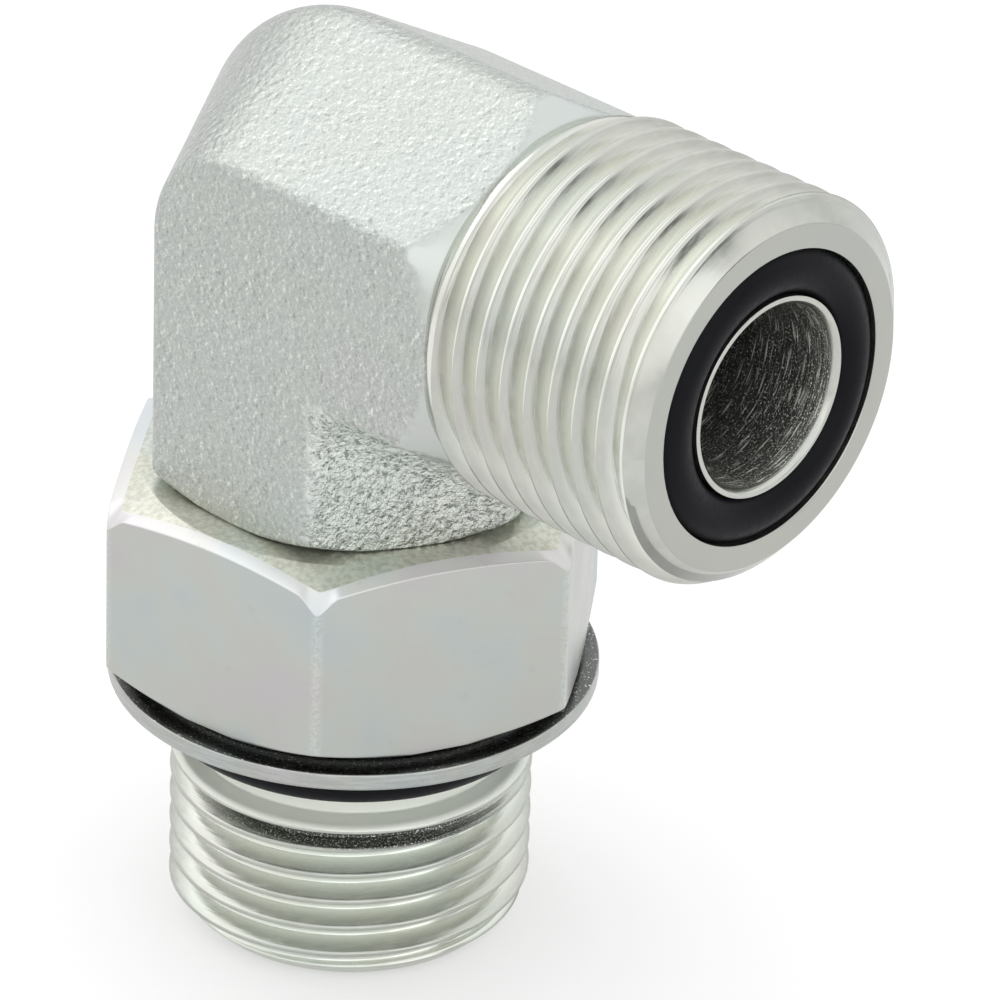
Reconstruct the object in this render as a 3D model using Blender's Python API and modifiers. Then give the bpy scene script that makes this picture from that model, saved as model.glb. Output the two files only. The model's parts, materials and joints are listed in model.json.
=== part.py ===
"""Ninety-degree hydraulic elbow adapter, as a designer would model it in Blender.

A hexagonal forged elbow joins a face-seal end, which points along +X, to an adjustable port stud,
which points down along -Z. A lock nut, a backup washer and an O-ring ride on the stud, and a
second O-ring lies in the groove of the face-seal end. Units are metres, +Z is up, and the part
stands on the end of its stud, centred on the middle of its footprint.
"""

import math

import bmesh
import bpy
from mathutils import Matrix, Vector

# How finely curves are cut
ROUND_STEPS = 48
NUT_STEPS = 60
RING_STEPS = 12
BEND_STEPS = 10
EDGE_ROUND_STEPS = 2
RIDGE_ROUND_STEPS = 4
SMOOTH_BELOW = math.radians(28)

# Space kept between pieces that touch on the real fitting
FIT_GAP = 0.0003

# Forged elbow: a hexagon bar bent through a right angle, flats to the sides and ridges outwards
HEX_FLATS = 0.01905
EDGE_ROUND = 0.0010
RIDGE_ROUND = 0.0021
CROTCH_ROUND = 0.0026
LEG_RISE = 0.01415
LEG_FOOT_R = 0.00995
LEG_FOOT_ANGLE = math.radians(30)

# Both threads: 16 turns an inch, right-hand, with flat crests and roots
THREAD_PITCH = 0.0015875
THREAD_DEPTH = 0.00085
THREAD_CREST_WIDTH = 0.0002
THREAD_FLANK_ANGLE = math.radians(30)

# Face-seal end, thread 13/16-16 UN
FACE_X = 0.02764
ARM_THREAD_R = 0.0103188
ARM_CREST_X = 0.0149376
ARM_NECK_DEPTH = 0.00087
ARM_NECK_END_X = 0.0140
ARM_START_BEVEL_LENGTH = 0.0006
ARM_SHOULDER_X = 0.01345
ARM_SHOULDER_STEP = 0.00015
ARM_SHOULDER_ANGLE = math.radians(37.5)
FACE_BEVEL_DEPTH = 0.00134
FACE_BEVEL_LENGTH = 0.00072
FACE_WIDTH = 0.00128
GROOVE_WIDTH = 0.00244
GROOVE_DEPTH = 0.00175
NOZZLE_SETBACK = 0.00010
NOZZLE_WALL = 0.00046
BORE_BEVEL = 0.0002

# Face-seal O-ring
FACE_RING_WIRE_R = 0.00087
FACE_RING_PROUD = 0.00020

# Port stud, thread 3/4-16 UNF
STUD_THREAD_R = 0.009525
STUD_END_BEVEL = 0.00169
STUD_THREAD_TOP_Z = 0.00975
STUD_THREAD_TOP_BEVEL = 0.0003
STUD_CREST_Z = 0.008729
UNDERCUT_DEPTH = 0.001525
UNDERCUT_TOP_Z = 0.0152
STUD_RELIEF_DEPTH = 0.000725
STUD_RELIEF_LENGTH = 0.0012
STUD_BORE_R = 0.00495
DRILL_POINT = math.radians(59)
DRILL_PAST_AXIS = 0.0015

# Lock nut
NUT_WALL = 0.00208125
NUT_HEX_HEIGHT = 0.01042
NUT_BOSS_HEIGHT = 0.00052
NUT_BOSS_WALL = 0.00113
NUT_TOP_FACE_INSET = 0.0008
NUT_TOP_CHAMFER_ANGLE = math.radians(18)
NUT_CORNER_CHAMFER = 0.0005
NUT_CORNER_CHAMFER_ANGLE = math.radians(62)
NUT_BOTTOM_FACE_OUTSET = 0.0001
NUT_BOTTOM_CHAMFER_ANGLE = math.radians(30)
NUT_COUNTERSINK = 0.0004
NUT_ANGLE = math.radians(5.93)

# Backup washer
WASHER_WIDTH = 0.003055
WASHER_THICKNESS = 0.00095
WASHER_TOP_Z = 0.01506
WASHER_HOLE_PLAY = 0.00022

# Port O-ring
PORT_RING_WIRE_R = 0.00105

# Worked out from the sizes above
RIDGE_R = HEX_FLATS / math.sqrt(3)
ARM_NECK_R = ARM_THREAD_R - ARM_NECK_DEPTH
ARM_SHOULDER_R = ARM_NECK_R + ARM_SHOULDER_STEP
FACE_R = ARM_THREAD_R - FACE_BEVEL_DEPTH
GROOVE_R = FACE_R - FACE_WIDTH
NOZZLE_R = GROOVE_R - GROOVE_WIDTH
ARM_BORE_R = NOZZLE_R - NOZZLE_WALL
UNDERCUT_R = STUD_THREAD_R - UNDERCUT_DEPTH
NUT_BORE_R = STUD_THREAD_R + FIT_GAP
NUT_HALF_FLATS = NUT_BORE_R + NUT_WALL
NUT_CORNER_R = NUT_HALF_FLATS * 2 / math.sqrt(3)
NUT_SEAT_Z = WASHER_TOP_Z + FIT_GAP
NUT_TOP_Z = NUT_SEAT_Z + NUT_BOSS_HEIGHT + NUT_HEX_HEIGHT
LEG_BOTTOM_Z = NUT_TOP_Z + FIT_GAP
ARM_AXIS_Z = LEG_BOTTOM_Z + LEG_RISE
WASHER_HOLE_R = STUD_THREAD_R + WASHER_HOLE_PLAY
WASHER_BOTTOM_Z = WASHER_TOP_Z - WASHER_THICKNESS
PORT_RING_R = UNDERCUT_R + FIT_GAP + PORT_RING_WIRE_R
PORT_RING_Z = WASHER_BOTTOM_Z - FIT_GAP - PORT_RING_WIRE_R
FACE_RING_R = GROOVE_R - FIT_GAP - FACE_RING_WIRE_R
FACE_RING_X = FACE_X + FACE_RING_PROUD - FACE_RING_WIRE_R
STUD_X = (NUT_CORNER_R * math.cos(NUT_ANGLE) - FACE_X - FACE_RING_PROUD) / 2
CUT_OVERLAP = 0.002

# Pieces that are joined or cut are turned by half a facet, so that their edges never coincide
HALF_STEP = math.pi / ROUND_STEPS


def clear_scene():
    for old in list(bpy.data.objects):
        bpy.data.objects.remove(old, do_unlink=True)


def new_collection(name):
    made = bpy.data.collections.new(name)
    bpy.context.scene.collection.children.link(made)
    return made


def new_material(name, colour, roughness, metallic):
    made = bpy.data.materials.new(name)
    made.use_nodes = True
    shader = made.node_tree.nodes["Principled BSDF"]
    shader.inputs["Base Color"].default_value = (*colour, 1.0)
    shader.inputs["Roughness"].default_value = roughness
    shader.inputs["Metallic"].default_value = metallic
    return made


def add_object(name, mesh, home, frame, material=None):
    made = bpy.data.objects.new(name, mesh)
    home.objects.link(made)
    made.parent = frame
    if material is not None:
        mesh.materials.append(material)
    return made


def as_cutter(obj):
    obj.hide_render = True
    obj.display_type = "WIRE"
    return obj


def add_turned(name, profile, steps, home, frame, material=None):
    """Object turned about its own Z axis from (radius, height) points that run down its outside."""
    mesh = bpy.data.meshes.new(name)
    ends = [(i, i + 1) for i in range(len(profile) - 1)]
    touches_axis = profile[0][0] == 0 and profile[-1][0] == 0
    if not touches_axis:
        ends.append((len(profile) - 1, 0))
    mesh.from_pydata([(r, 0.0, z) for r, z in profile], ends, [])
    made = add_object(name, mesh, home, frame, material)
    screw = made.modifiers.new("Turn", "SCREW")
    screw.axis = "Z"
    screw.angle = math.tau
    screw.steps = steps
    screw.render_steps = steps
    screw.use_merge_vertices = True
    screw.merge_threshold = 0.000001
    screw.use_smooth_shade = False
    return made


def groove_edges(crest_at, low, high):
    """(height, depth) of a thread's crest and root edges at its first angle, from the top down."""
    half_crest = THREAD_CREST_WIDTH / 2
    flank = THREAD_DEPTH * math.tan(THREAD_FLANK_ANGLE)
    half_root = max(THREAD_PITCH / 2 - half_crest - flank, THREAD_PITCH / 32)
    crest = crest_at + math.ceil((high - crest_at) / THREAD_PITCH) * THREAD_PITCH
    edges = []
    while crest > low - 2 * THREAD_PITCH:
        root = crest - THREAD_PITCH / 2
        edges += [(crest + half_crest, 0.0), (crest - half_crest, 0.0)]
        edges += [(root + half_root, THREAD_DEPTH), (root - half_root, THREAD_DEPTH)]
        crest -= THREAD_PITCH
    return edges


def thread_rings(above, upper, lower, below, crest_at):
    """Rings of (radius, height) points that follow the thread between two bevels of a turned profile.

    A ring climbs one pitch as it goes round, so it ends where the ring four above it starts. The
    groove runs out on both bevels, where they are as deep as its root.
    """
    thread_r = upper[0]
    rise = (above[1] - upper[1]) / (thread_r - above[0])
    drop = (lower[1] - below[1]) / (thread_r - below[0])
    high = upper[1] + rise * min(THREAD_DEPTH, thread_r - above[0])
    low = lower[1] - drop * min(THREAD_DEPTH, thread_r - below[0])
    climb = THREAD_PITCH / ROUND_STEPS
    rings = []
    for edge, depth in groove_edges(crest_at, low, high):
        ring = []
        for i in range(ROUND_STEPS + 1):
            height = edge + i * climb
            inside = low + climb / 2 < height < high - climb / 2
            height = height if inside else (high if height > low + climb / 2 else low)
            bevel = max((height - upper[1]) / rise, (lower[1] - height) / drop, 0.0)
            ring.append((thread_r - (max(depth, bevel) if inside else bevel), height))
        rings.append(ring)
    return rings


def add_threaded(name, profile, crest_at, home, frame):
    """Turned blank with a thread on each of its widest stretches.

    The profile runs down the outside, from the axis and back to it. The middle of a crest passes the
    height crest_at at angle 0.
    """
    thread_r = max(r for r, z in profile)
    rows = []
    for k, point in enumerate(profile):
        if point[0] < thread_r:
            rows.append([point] * (ROUND_STEPS + 1))
        elif profile[k + 1][0] == thread_r:
            rows += thread_rings(*profile[k - 1 : k + 3], crest_at)
    shape = bmesh.new()
    rings = []
    for row in rows:
        turns = [i % ROUND_STEPS / ROUND_STEPS * math.tau for i in range(ROUND_STEPS + 1)]
        ring = [(r * math.cos(turn), r * math.sin(turn), z) for (r, z), turn in zip(row, turns)]
        rings.append([shape.verts.new(place) for place in ring])
    for ring, following in zip(rings, rings[1:]):
        for i in range(ROUND_STEPS):
            shape.faces.new((ring[i], following[i], following[i + 1], ring[i + 1]))
    bmesh.ops.remove_doubles(shape, verts=shape.verts, dist=0.000001)
    bmesh.ops.triangulate(shape, faces=shape.faces)
    bmesh.ops.recalc_face_normals(shape, faces=shape.faces)
    mesh = bpy.data.meshes.new(name)
    shape.to_mesh(mesh)
    shape.free()
    return add_object(name, mesh, home, frame)


def point_along_x(obj, turn=0.0):
    """Turns an object about its own axis, Z, and lays that axis on the arm's."""
    obj.rotation_mode = "ZYX"
    obj.rotation_euler = (0.0, math.pi / 2, turn)
    obj.location = (0.0, 0.0, ARM_AXIS_Z)
    return obj


def add_boolean(obj, other, operation):
    step = obj.modifiers.new(operation.title() + " " + other.name, "BOOLEAN")
    step.operation = operation
    step.solver = "EXACT"
    step.object = other


def rounded_corner(before, corner, after, radius, steps):
    """Points of the arc that rounds one corner of an outline."""
    back = (before - corner).normalized()
    ahead = (after - corner).normalized()
    half = back.angle(ahead) / 2
    centre = corner + (back + ahead).normalized() * (radius / math.sin(half))
    first = corner + back * (radius / math.tan(half)) - centre
    last = corner + ahead * (radius / math.tan(half)) - centre
    swing = math.pi - 2 * half
    points = []
    for i in range(steps + 1):
        from_first = math.sin((1 - i / steps) * swing) / math.sin(swing)
        from_last = math.sin(i / steps * swing) / math.sin(swing)
        points.append(centre + first * from_first + last * from_last)
    return points


def bar_section():
    """Hexagon outline of the forging as (outward, sideways) points, with its edges rounded."""
    half = HEX_FLATS / 2
    corners = [
        Vector((RIDGE_R * math.cos(k * math.pi / 3), RIDGE_R * math.sin(k * math.pi / 3))) for k in range(6)
    ]
    points = []
    for k, corner in enumerate(corners):
        is_ridge = abs(corner.y) < half / 2
        radius = RIDGE_ROUND if is_ridge else EDGE_ROUND
        steps = RIDGE_ROUND_STEPS if is_ridge else EDGE_ROUND_STEPS
        points += rounded_corner(corners[k - 1], corner, corners[(k + 1) % 6], radius, steps)
    return points


def bend_route(outward):
    """(x, z) route of one section point: up the leg, round the bend and out along the arm.

    Both ends run past where the lathe cuts them off.
    """
    if outward > 0:
        centre = (0.0, ARM_AXIS_Z)
        radius = outward
    else:
        centre = (CROTCH_ROUND - outward, ARM_AXIS_Z + outward - CROTCH_ROUND)
        radius = CROTCH_ROUND
    reach = RIDGE_R + CROTCH_ROUND + CUT_OVERLAP
    route = [(-outward, ARM_AXIS_Z - max(reach, LEG_RISE + CUT_OVERLAP))]
    for i in range(BEND_STEPS + 1):
        turn = math.pi - i / BEND_STEPS * math.pi / 2
        route.append((centre[0] + radius * math.cos(turn), centre[1] + radius * math.sin(turn)))
    route.append((max(reach, ARM_SHOULDER_X + CUT_OVERLAP), ARM_AXIS_Z + outward))
    return route


def add_forging(home, frame, material):
    """Hexagon bar swept round the elbow: each edge of the section takes its own bend."""
    section = bar_section()
    routes = [bend_route(p.x) for p in section]
    shape = bmesh.new()
    rings = [
        [shape.verts.new((route[i][0], p.y, route[i][1])) for p, route in zip(section, routes)]
        for i in range(len(routes[0]))
    ]
    count = len(section)
    for ring, following in zip(rings, rings[1:]):
        for k in range(count):
            after = (k + 1) % count
            shape.faces.new((ring[k], ring[after], following[after], following[k]))
    shape.faces.new(rings[0][::-1])
    shape.faces.new(rings[-1])
    bmesh.ops.triangulate(shape, faces=shape.faces)
    bmesh.ops.recalc_face_normals(shape, faces=shape.faces)
    mesh = bpy.data.meshes.new("elbow_body")
    shape.to_mesh(mesh)
    shape.free()
    return add_object("elbow_body", mesh, home, frame, material)


def add_arm_turning(home, frame):
    """What the lathe takes off the hexagon behind the arm's thread: a cone, then the shoulder's face."""
    outside = RIDGE_R + FIT_GAP
    start_x = ARM_SHOULDER_X - (outside - ARM_SHOULDER_R) / math.tan(ARM_SHOULDER_ANGLE)
    clear_r = outside + 2 * CUT_OVERLAP
    end_x = max(ARM_SHOULDER_X, RIDGE_R + CROTCH_ROUND) + 2 * CUT_OVERLAP
    profile = [
        (0.0, end_x),
        (clear_r, end_x),
        (clear_r, start_x),
        (outside, start_x),
        (ARM_SHOULDER_R, ARM_SHOULDER_X),
        (0.0, ARM_SHOULDER_X),
    ]
    cutter = add_turned("arm_turning", profile, ROUND_STEPS, home, frame)
    return as_cutter(point_along_x(cutter, HALF_STEP))


def add_foot_turning(home, frame):
    """What the lathe takes off the leg above the lock nut: the end face, then the corners' chamfer."""
    outside = RIDGE_R + CUT_OVERLAP
    bottom_z = ARM_AXIS_Z - max(RIDGE_R + CROTCH_ROUND, LEG_RISE) - 2 * CUT_OVERLAP
    profile = [
        (0.0, LEG_BOTTOM_Z),
        (LEG_FOOT_R, LEG_BOTTOM_Z),
        (outside, LEG_BOTTOM_Z + (outside - LEG_FOOT_R) * math.tan(LEG_FOOT_ANGLE)),
        (outside, bottom_z),
        (0.0, bottom_z),
    ]
    cutter = add_turned("foot_turning", profile, ROUND_STEPS, home, frame)
    cutter.rotation_euler = (0.0, 0.0, HALF_STEP)
    return as_cutter(cutter)


def add_arm_end(home, frame):
    """Turned face-seal end: thread, bevelled face, seal groove and nozzle ring."""
    nozzle_x = FACE_X - NOZZLE_SETBACK
    profile = [
        (0.0, nozzle_x),
        (NOZZLE_R, nozzle_x),
        (NOZZLE_R, FACE_X - GROOVE_DEPTH),
        (GROOVE_R, FACE_X - GROOVE_DEPTH),
        (GROOVE_R, FACE_X),
        (FACE_R, FACE_X),
        (ARM_THREAD_R, FACE_X - FACE_BEVEL_LENGTH),
        (ARM_THREAD_R, ARM_NECK_END_X + ARM_START_BEVEL_LENGTH),
        (ARM_NECK_R, ARM_NECK_END_X),
        (ARM_NECK_R, ARM_SHOULDER_X - CUT_OVERLAP),
        (0.0, ARM_SHOULDER_X - CUT_OVERLAP),
    ]
    return as_cutter(point_along_x(add_threaded("arm_end", profile, ARM_CREST_X, home, frame)))


def add_stud(home, frame):
    """Turned port stud: upper thread under the nut, undercut for the washer and O-ring, lower thread."""
    relief_r = STUD_THREAD_R - STUD_RELIEF_DEPTH
    relief_z = LEG_BOTTOM_Z - STUD_RELIEF_LENGTH
    profile = [
        (0.0, LEG_BOTTOM_Z + CUT_OVERLAP),
        (relief_r, LEG_BOTTOM_Z + CUT_OVERLAP),
        (relief_r, relief_z),
        (STUD_THREAD_R, relief_z - STUD_RELIEF_DEPTH),
        (STUD_THREAD_R, UNDERCUT_TOP_Z + UNDERCUT_DEPTH),
        (UNDERCUT_R, UNDERCUT_TOP_Z),
        (UNDERCUT_R, STUD_THREAD_TOP_Z + STUD_THREAD_TOP_BEVEL),
        (STUD_THREAD_R, STUD_THREAD_TOP_Z),
        (STUD_THREAD_R, STUD_END_BEVEL),
        (STUD_THREAD_R - STUD_END_BEVEL, 0.0),
        (0.0, 0.0),
    ]
    return as_cutter(add_threaded("stud", profile, STUD_CREST_Z, home, frame))


def bore_profile(radius, mouth, bottom):
    """Drilled hole with a bevelled mouth and a drill point, as a cutter turned about its axis."""
    return [
        (0.0, mouth + CUT_OVERLAP),
        (radius + BORE_BEVEL + CUT_OVERLAP, mouth + CUT_OVERLAP),
        (radius, mouth - BORE_BEVEL),
        (radius, bottom),
        (0.0, bottom - radius / math.tan(DRILL_POINT)),
    ]


def add_bores(home, frame):
    """The two drilled passages, which meet inside the elbow."""
    along_arm = bore_profile(ARM_BORE_R, FACE_X - NOZZLE_SETBACK, -DRILL_PAST_AXIS)
    up_stud = bore_profile(STUD_BORE_R, 0.0, -ARM_AXIS_Z - DRILL_PAST_AXIS)
    arm = add_turned("arm_bore", along_arm, ROUND_STEPS, home, frame)
    # The stud's passage is drilled from below, so its cutter is turned upside down.
    stud = add_turned("stud_bore", up_stud, ROUND_STEPS, home, frame)
    stud.rotation_euler = (math.pi, 0.0, HALF_STEP)
    return as_cutter(point_along_x(arm)), as_cutter(stud)


def add_elbow_body(home, tools, frame, material):
    body = add_forging(home, frame, material)
    add_boolean(body, add_foot_turning(tools, frame), "DIFFERENCE")
    add_boolean(body, add_stud(tools, frame), "UNION")
    add_boolean(body, add_arm_turning(tools, frame), "DIFFERENCE")
    add_boolean(body, add_arm_end(tools, frame), "UNION")
    for bore in add_bores(tools, frame):
        add_boolean(body, bore, "DIFFERENCE")
    return body


def add_lock_nut(home, tools, frame, material):
    """Turned blank with chamfered ends and a washer boss, brought to a hexagon.

    The top has a shallow chamfer all round and a steep one on the hexagon's corners. The nut's own
    origin is on its axis at the seat of its boss.
    """
    outside = NUT_CORNER_R + FIT_GAP
    top = NUT_BOSS_HEIGHT + NUT_HEX_HEIGHT
    top_face_r = NUT_HALF_FLATS - NUT_TOP_FACE_INSET
    corner_r = NUT_CORNER_R - NUT_CORNER_CHAMFER
    corner_z = top - (corner_r - top_face_r) * math.tan(NUT_TOP_CHAMFER_ANGLE)
    bottom_face_r = NUT_HALF_FLATS + NUT_BOTTOM_FACE_OUTSET
    boss_r = NUT_BORE_R + NUT_BOSS_WALL
    profile = [
        (NUT_BORE_R + NUT_COUNTERSINK, top),
        (top_face_r, top),
        (corner_r, corner_z),
        (outside, corner_z - (outside - corner_r) * math.tan(NUT_CORNER_CHAMFER_ANGLE)),
        (outside, NUT_BOSS_HEIGHT + (outside - bottom_face_r) * math.tan(NUT_BOTTOM_CHAMFER_ANGLE)),
        (bottom_face_r, NUT_BOSS_HEIGHT),
        (boss_r, NUT_BOSS_HEIGHT),
        (boss_r, 0.0),
        (NUT_BORE_R + NUT_COUNTERSINK, 0.0),
        (NUT_BORE_R, NUT_COUNTERSINK),
        (NUT_BORE_R, top - NUT_COUNTERSINK),
    ]
    nut = add_turned("lock_nut", profile, NUT_STEPS, home, frame, material)
    shape = bmesh.new()
    bmesh.ops.create_cone(
        shape,
        cap_ends=True,
        segments=6,
        radius1=NUT_CORNER_R,
        radius2=NUT_CORNER_R,
        depth=top + 2 * CUT_OVERLAP,
        matrix=Matrix.Translation((0.0, 0.0, top / 2)) @ Matrix.Rotation(math.pi / 6, 4, "Z"),
    )
    mesh = bpy.data.meshes.new("nut_hexagon")
    shape.to_mesh(mesh)
    shape.free()
    hexagon = as_cutter(add_object("nut_hexagon", mesh, tools, frame))
    for turned in (nut, hexagon):
        turned.location = (0.0, 0.0, NUT_SEAT_Z)
        turned.rotation_euler = (0.0, 0.0, NUT_ANGLE)
    add_boolean(nut, hexagon, "INTERSECT")
    return nut


def add_washer(home, frame, material):
    half = WASHER_THICKNESS / 2
    rim_r = WASHER_HOLE_R + WASHER_WIDTH
    profile = [(WASHER_HOLE_R, half), (rim_r, half), (rim_r, -half), (WASHER_HOLE_R, -half)]
    washer = add_turned("backup_washer", profile, ROUND_STEPS, home, frame, material)
    washer.location = (0.0, 0.0, WASHER_TOP_Z - half)
    return washer


def add_o_ring(name, ring_r, wire_r, home, frame, material):
    bpy.ops.mesh.primitive_torus_add(
        major_segments=ROUND_STEPS, minor_segments=RING_STEPS, major_radius=ring_r, minor_radius=wire_r
    )
    ring = bpy.context.active_object
    ring.name = name
    ring.data.name = name
    for held in list(ring.users_collection):
        held.objects.unlink(ring)
    home.objects.link(ring)
    ring.parent = frame
    ring.data.materials.append(material)
    return ring


def shade_by_angle(obj):
    """Smooth shading on round faces, with sharp edges kept at chamfers and steps."""
    obj.data.shade_smooth()
    obj.data.set_sharp_from_angle(angle=SMOOTH_BELOW)


def main():
    clear_scene()
    home = new_collection("hydraulic_elbow")
    tools = new_collection("cutters")
    frame = bpy.data.objects.new("fitting_axis", None)
    home.objects.link(frame)
    frame.location = (STUD_X, 0.0, 0.0)
    body_zinc = new_material("body_zinc", (0.60, 0.63, 0.61), 0.45, 1.0)
    nut_zinc = new_material("nut_zinc", (0.62, 0.65, 0.67), 0.30, 1.0)
    washer_zinc = new_material("washer_zinc", (0.55, 0.57, 0.58), 0.32, 1.0)
    nitrile = new_material("nitrile", (0.02, 0.02, 0.024), 0.45, 0.0)
    add_elbow_body(home, tools, frame, body_zinc)
    add_lock_nut(home, tools, frame, nut_zinc)
    add_washer(home, frame, washer_zinc)
    port_ring = add_o_ring("port_o_ring", PORT_RING_R, PORT_RING_WIRE_R, home, frame, nitrile)
    port_ring.location = (0.0, 0.0, PORT_RING_Z)
    face_ring = add_o_ring("face_o_ring", FACE_RING_R, FACE_RING_WIRE_R, home, frame, nitrile)
    face_ring.location = (FACE_RING_X, 0.0, ARM_AXIS_Z)
    face_ring.rotation_euler = (0.0, math.pi / 2, 0.0)
    for obj in home.objects:
        if obj.type == "MESH":
            shade_by_angle(obj)


main()
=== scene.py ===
"""Looks of a right-angle hydraulic elbow adapter: forged elbow, turned ends, lock nut, washer and O-rings.

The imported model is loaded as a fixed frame. Every piece is placed from that frame, in metres.
"""

import json
import math

import bmesh
import bpy
import numpy as np
from bpy.props import FloatProperty, FloatVectorProperty, IntProperty, PointerProperty
from mathutils import Matrix, Vector


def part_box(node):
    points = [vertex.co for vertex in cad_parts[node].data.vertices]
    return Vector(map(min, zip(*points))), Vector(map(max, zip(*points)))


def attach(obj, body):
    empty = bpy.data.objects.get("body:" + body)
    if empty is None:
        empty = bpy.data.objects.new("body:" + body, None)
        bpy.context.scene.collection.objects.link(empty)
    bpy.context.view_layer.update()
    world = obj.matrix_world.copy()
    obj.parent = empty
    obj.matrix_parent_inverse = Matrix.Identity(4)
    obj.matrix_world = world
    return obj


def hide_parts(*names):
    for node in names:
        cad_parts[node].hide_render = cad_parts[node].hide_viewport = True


bl_info = {
    "name": "Hydraulic Elbow Looks",
    "version": (1, 0, 0),
    "blender": (4, 5, 0),
    "location": "View3D > Sidebar > Elbow",
    "description": "Builds the forged elbow, its threads, nut, washer, seals and studio",
    "category": "Object",
}

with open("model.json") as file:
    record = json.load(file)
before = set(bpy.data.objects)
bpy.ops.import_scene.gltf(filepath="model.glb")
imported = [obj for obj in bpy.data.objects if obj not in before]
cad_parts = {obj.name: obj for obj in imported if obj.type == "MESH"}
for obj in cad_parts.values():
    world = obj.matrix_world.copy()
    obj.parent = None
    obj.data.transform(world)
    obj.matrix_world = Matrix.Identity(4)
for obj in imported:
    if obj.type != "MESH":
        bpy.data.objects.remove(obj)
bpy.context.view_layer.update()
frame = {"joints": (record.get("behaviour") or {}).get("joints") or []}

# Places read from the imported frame
NUT_JOINT = next(joint for joint in frame["joints"] if joint["name"] == "nut_turn")
STUD_X = NUT_JOINT["pos_m"][0]
BODY_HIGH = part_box("elbow_body")[1]
NUT_LOW, NUT_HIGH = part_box("lock_nut")
WASHER_LOW, WASHER_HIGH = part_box("backup_washer")
PORT_RING_LOW, PORT_RING_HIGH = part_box("port_o_ring")
FACE_RING_LOW, FACE_RING_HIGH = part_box("face_o_ring")
ARM_Z = (FACE_RING_LOW.z + FACE_RING_HIGH.z) / 2
FACE_X = BODY_HIGH.x
FOOT_GAP = 0.00004
LEG_BOTTOM_Z = NUT_HIGH.z + FOOT_GAP

PITCH = 0.0015875
THREAD_DEPTH = 0.00097
CREST_SOFTNESS = 0.00003
ROOT_SOFTNESS = 0.00006

# Places round one thread, as shares of a pitch from the middle of a crest: close at crest and root edges
TO_ROOT = (0.0, 0.045, 0.075, 0.11, 0.18, 0.26, 0.34, 0.40, 0.45)
TO_NEXT_CREST = (0.50, 0.55, 0.60, 0.66, 0.74, 0.82, 0.89, 0.925, 0.955)
THREAD_STATIONS = TO_ROOT + TO_NEXT_CREST


def metres(name, description, default):
    """Length setting."""
    return FloatProperty(name=name, description=description, default=default, unit="LENGTH")


def turn(name, description, degrees):
    """Angle setting."""
    return FloatProperty(name=name, description=description, default=math.radians(degrees), subtype="ANGLE")


def colour(name, description, default):
    """Colour setting."""
    return FloatVectorProperty(name=name, description=description, default=default, subtype="COLOR", size=3)


class ForgingSettings(bpy.types.PropertyGroup):
    """Shape and finish of the forged hexagon elbow."""

    flats: metres("Across flats", "Width of the forging between opposite flats", 0.01905)
    edge_round: metres("Edge round", "Radius of the edges beside the side flats", 0.0011)
    ridge_round: metres("Ridge round", "Radius of the ridges on the elbow's outside and inside", 0.0021)
    crotch_round: metres("Crotch round", "Radius of the inside corner of the elbow", 0.0026)
    foot_radius: metres("Foot radius", "Radius where the leg's corners are chamfered above the nut", 0.00965)
    shoulder_x: metres("Shoulder", "Distance from the stud's axis to the turned shoulder", 0.01345)
    shoulder_radius: metres("Shoulder radius", "Radius of the turned shoulder's face", 0.0096)
    grain_size: metres("Blast grain", "Size of the dimples that shot blasting leaves", 0.00026)
    zinc: colour("Blasted zinc", "Colour of the zinc plate on the forging", (0.535, 0.565, 0.545))


class ArmSettings(bpy.types.PropertyGroup):
    """Shape and finish of the turned face-seal end."""

    crest_radius: metres("Crest radius", "Radius of the thread's crests", 0.01029)
    first_crest_x: metres("First crest", "Distance from stud axis to a crest at the marked angle", 0.01604)
    crest_angle: turn("Crest angle", "Where the first crest is measured", 160)
    zinc: colour("Turned zinc", "Colour of the zinc plate on the arm's thread", (0.578, 0.587, 0.545))


class StudSettings(bpy.types.PropertyGroup):
    """Shape and finish of the turned port stud."""

    crest_radius: metres("Crest radius", "Radius of the thread's crests", 0.009485)
    first_crest_z: metres("First crest", "Height of a crest at the marked angle", 0.00852)
    crest_angle: turn("Crest angle", "Where the first crest is measured", -47.4)
    zinc: colour("Turned zinc", "Colour of the zinc plate on the stud's thread", (0.545, 0.565, 0.52))


class NutSettings(bpy.types.PropertyGroup):
    """Shape and finish of the lock nut."""

    flats: metres("Across flats", "Width of the nut between opposite flats", 0.0238125)
    corner_round: metres("Corner round", "Radius of the nut's upright edges", 0.00045)
    angle: turn("Angle", "Turn of the nut about the stud", 5.93)
    zinc: colour("Nut zinc", "Colour of the nut's smooth zinc plate", (0.545, 0.565, 0.55))


class WasherSettings(bpy.types.PropertyGroup):
    """Shape and finish of the backup washer."""

    edge_round: metres("Edge round", "Radius of the washer's stamped edge", 0.00024)
    zinc: colour("Washer zinc", "Colour of the washer's zinc plate", (0.50, 0.52, 0.51))


class SealSettings(bpy.types.PropertyGroup):
    """Shape and finish of the two O-rings."""

    face_section: metres("Face ring section", "Thickness of the face O-ring", 0.0019)
    port_section: metres("Port ring section", "Thickness of the port O-ring", 0.0023)
    nitrile: colour("Nitrile", "Colour of the black rubber", (0.006, 0.0063, 0.0085))


class StageSettings(bpy.types.PropertyGroup):
    """Camera, lamps and backdrop."""

    focal_length: FloatProperty(name="Focal length", description="Lens in millimetres", default=290.9)
    lamp_radiance: FloatProperty(name="Lamp radiance", description="Brightness of the lamps", default=0.5)
    sky_strength: FloatProperty(name="Sky strength", description="Even light all round", default=0.84)
    turned_steps: IntProperty(name="Turned steps", description="Columns round each turned piece", default=288)


# Meshes


def add_object(name, data):
    """New object in the scene."""
    made = bpy.data.objects.new(name, data)
    bpy.context.scene.collection.objects.link(made)
    return made


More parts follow.
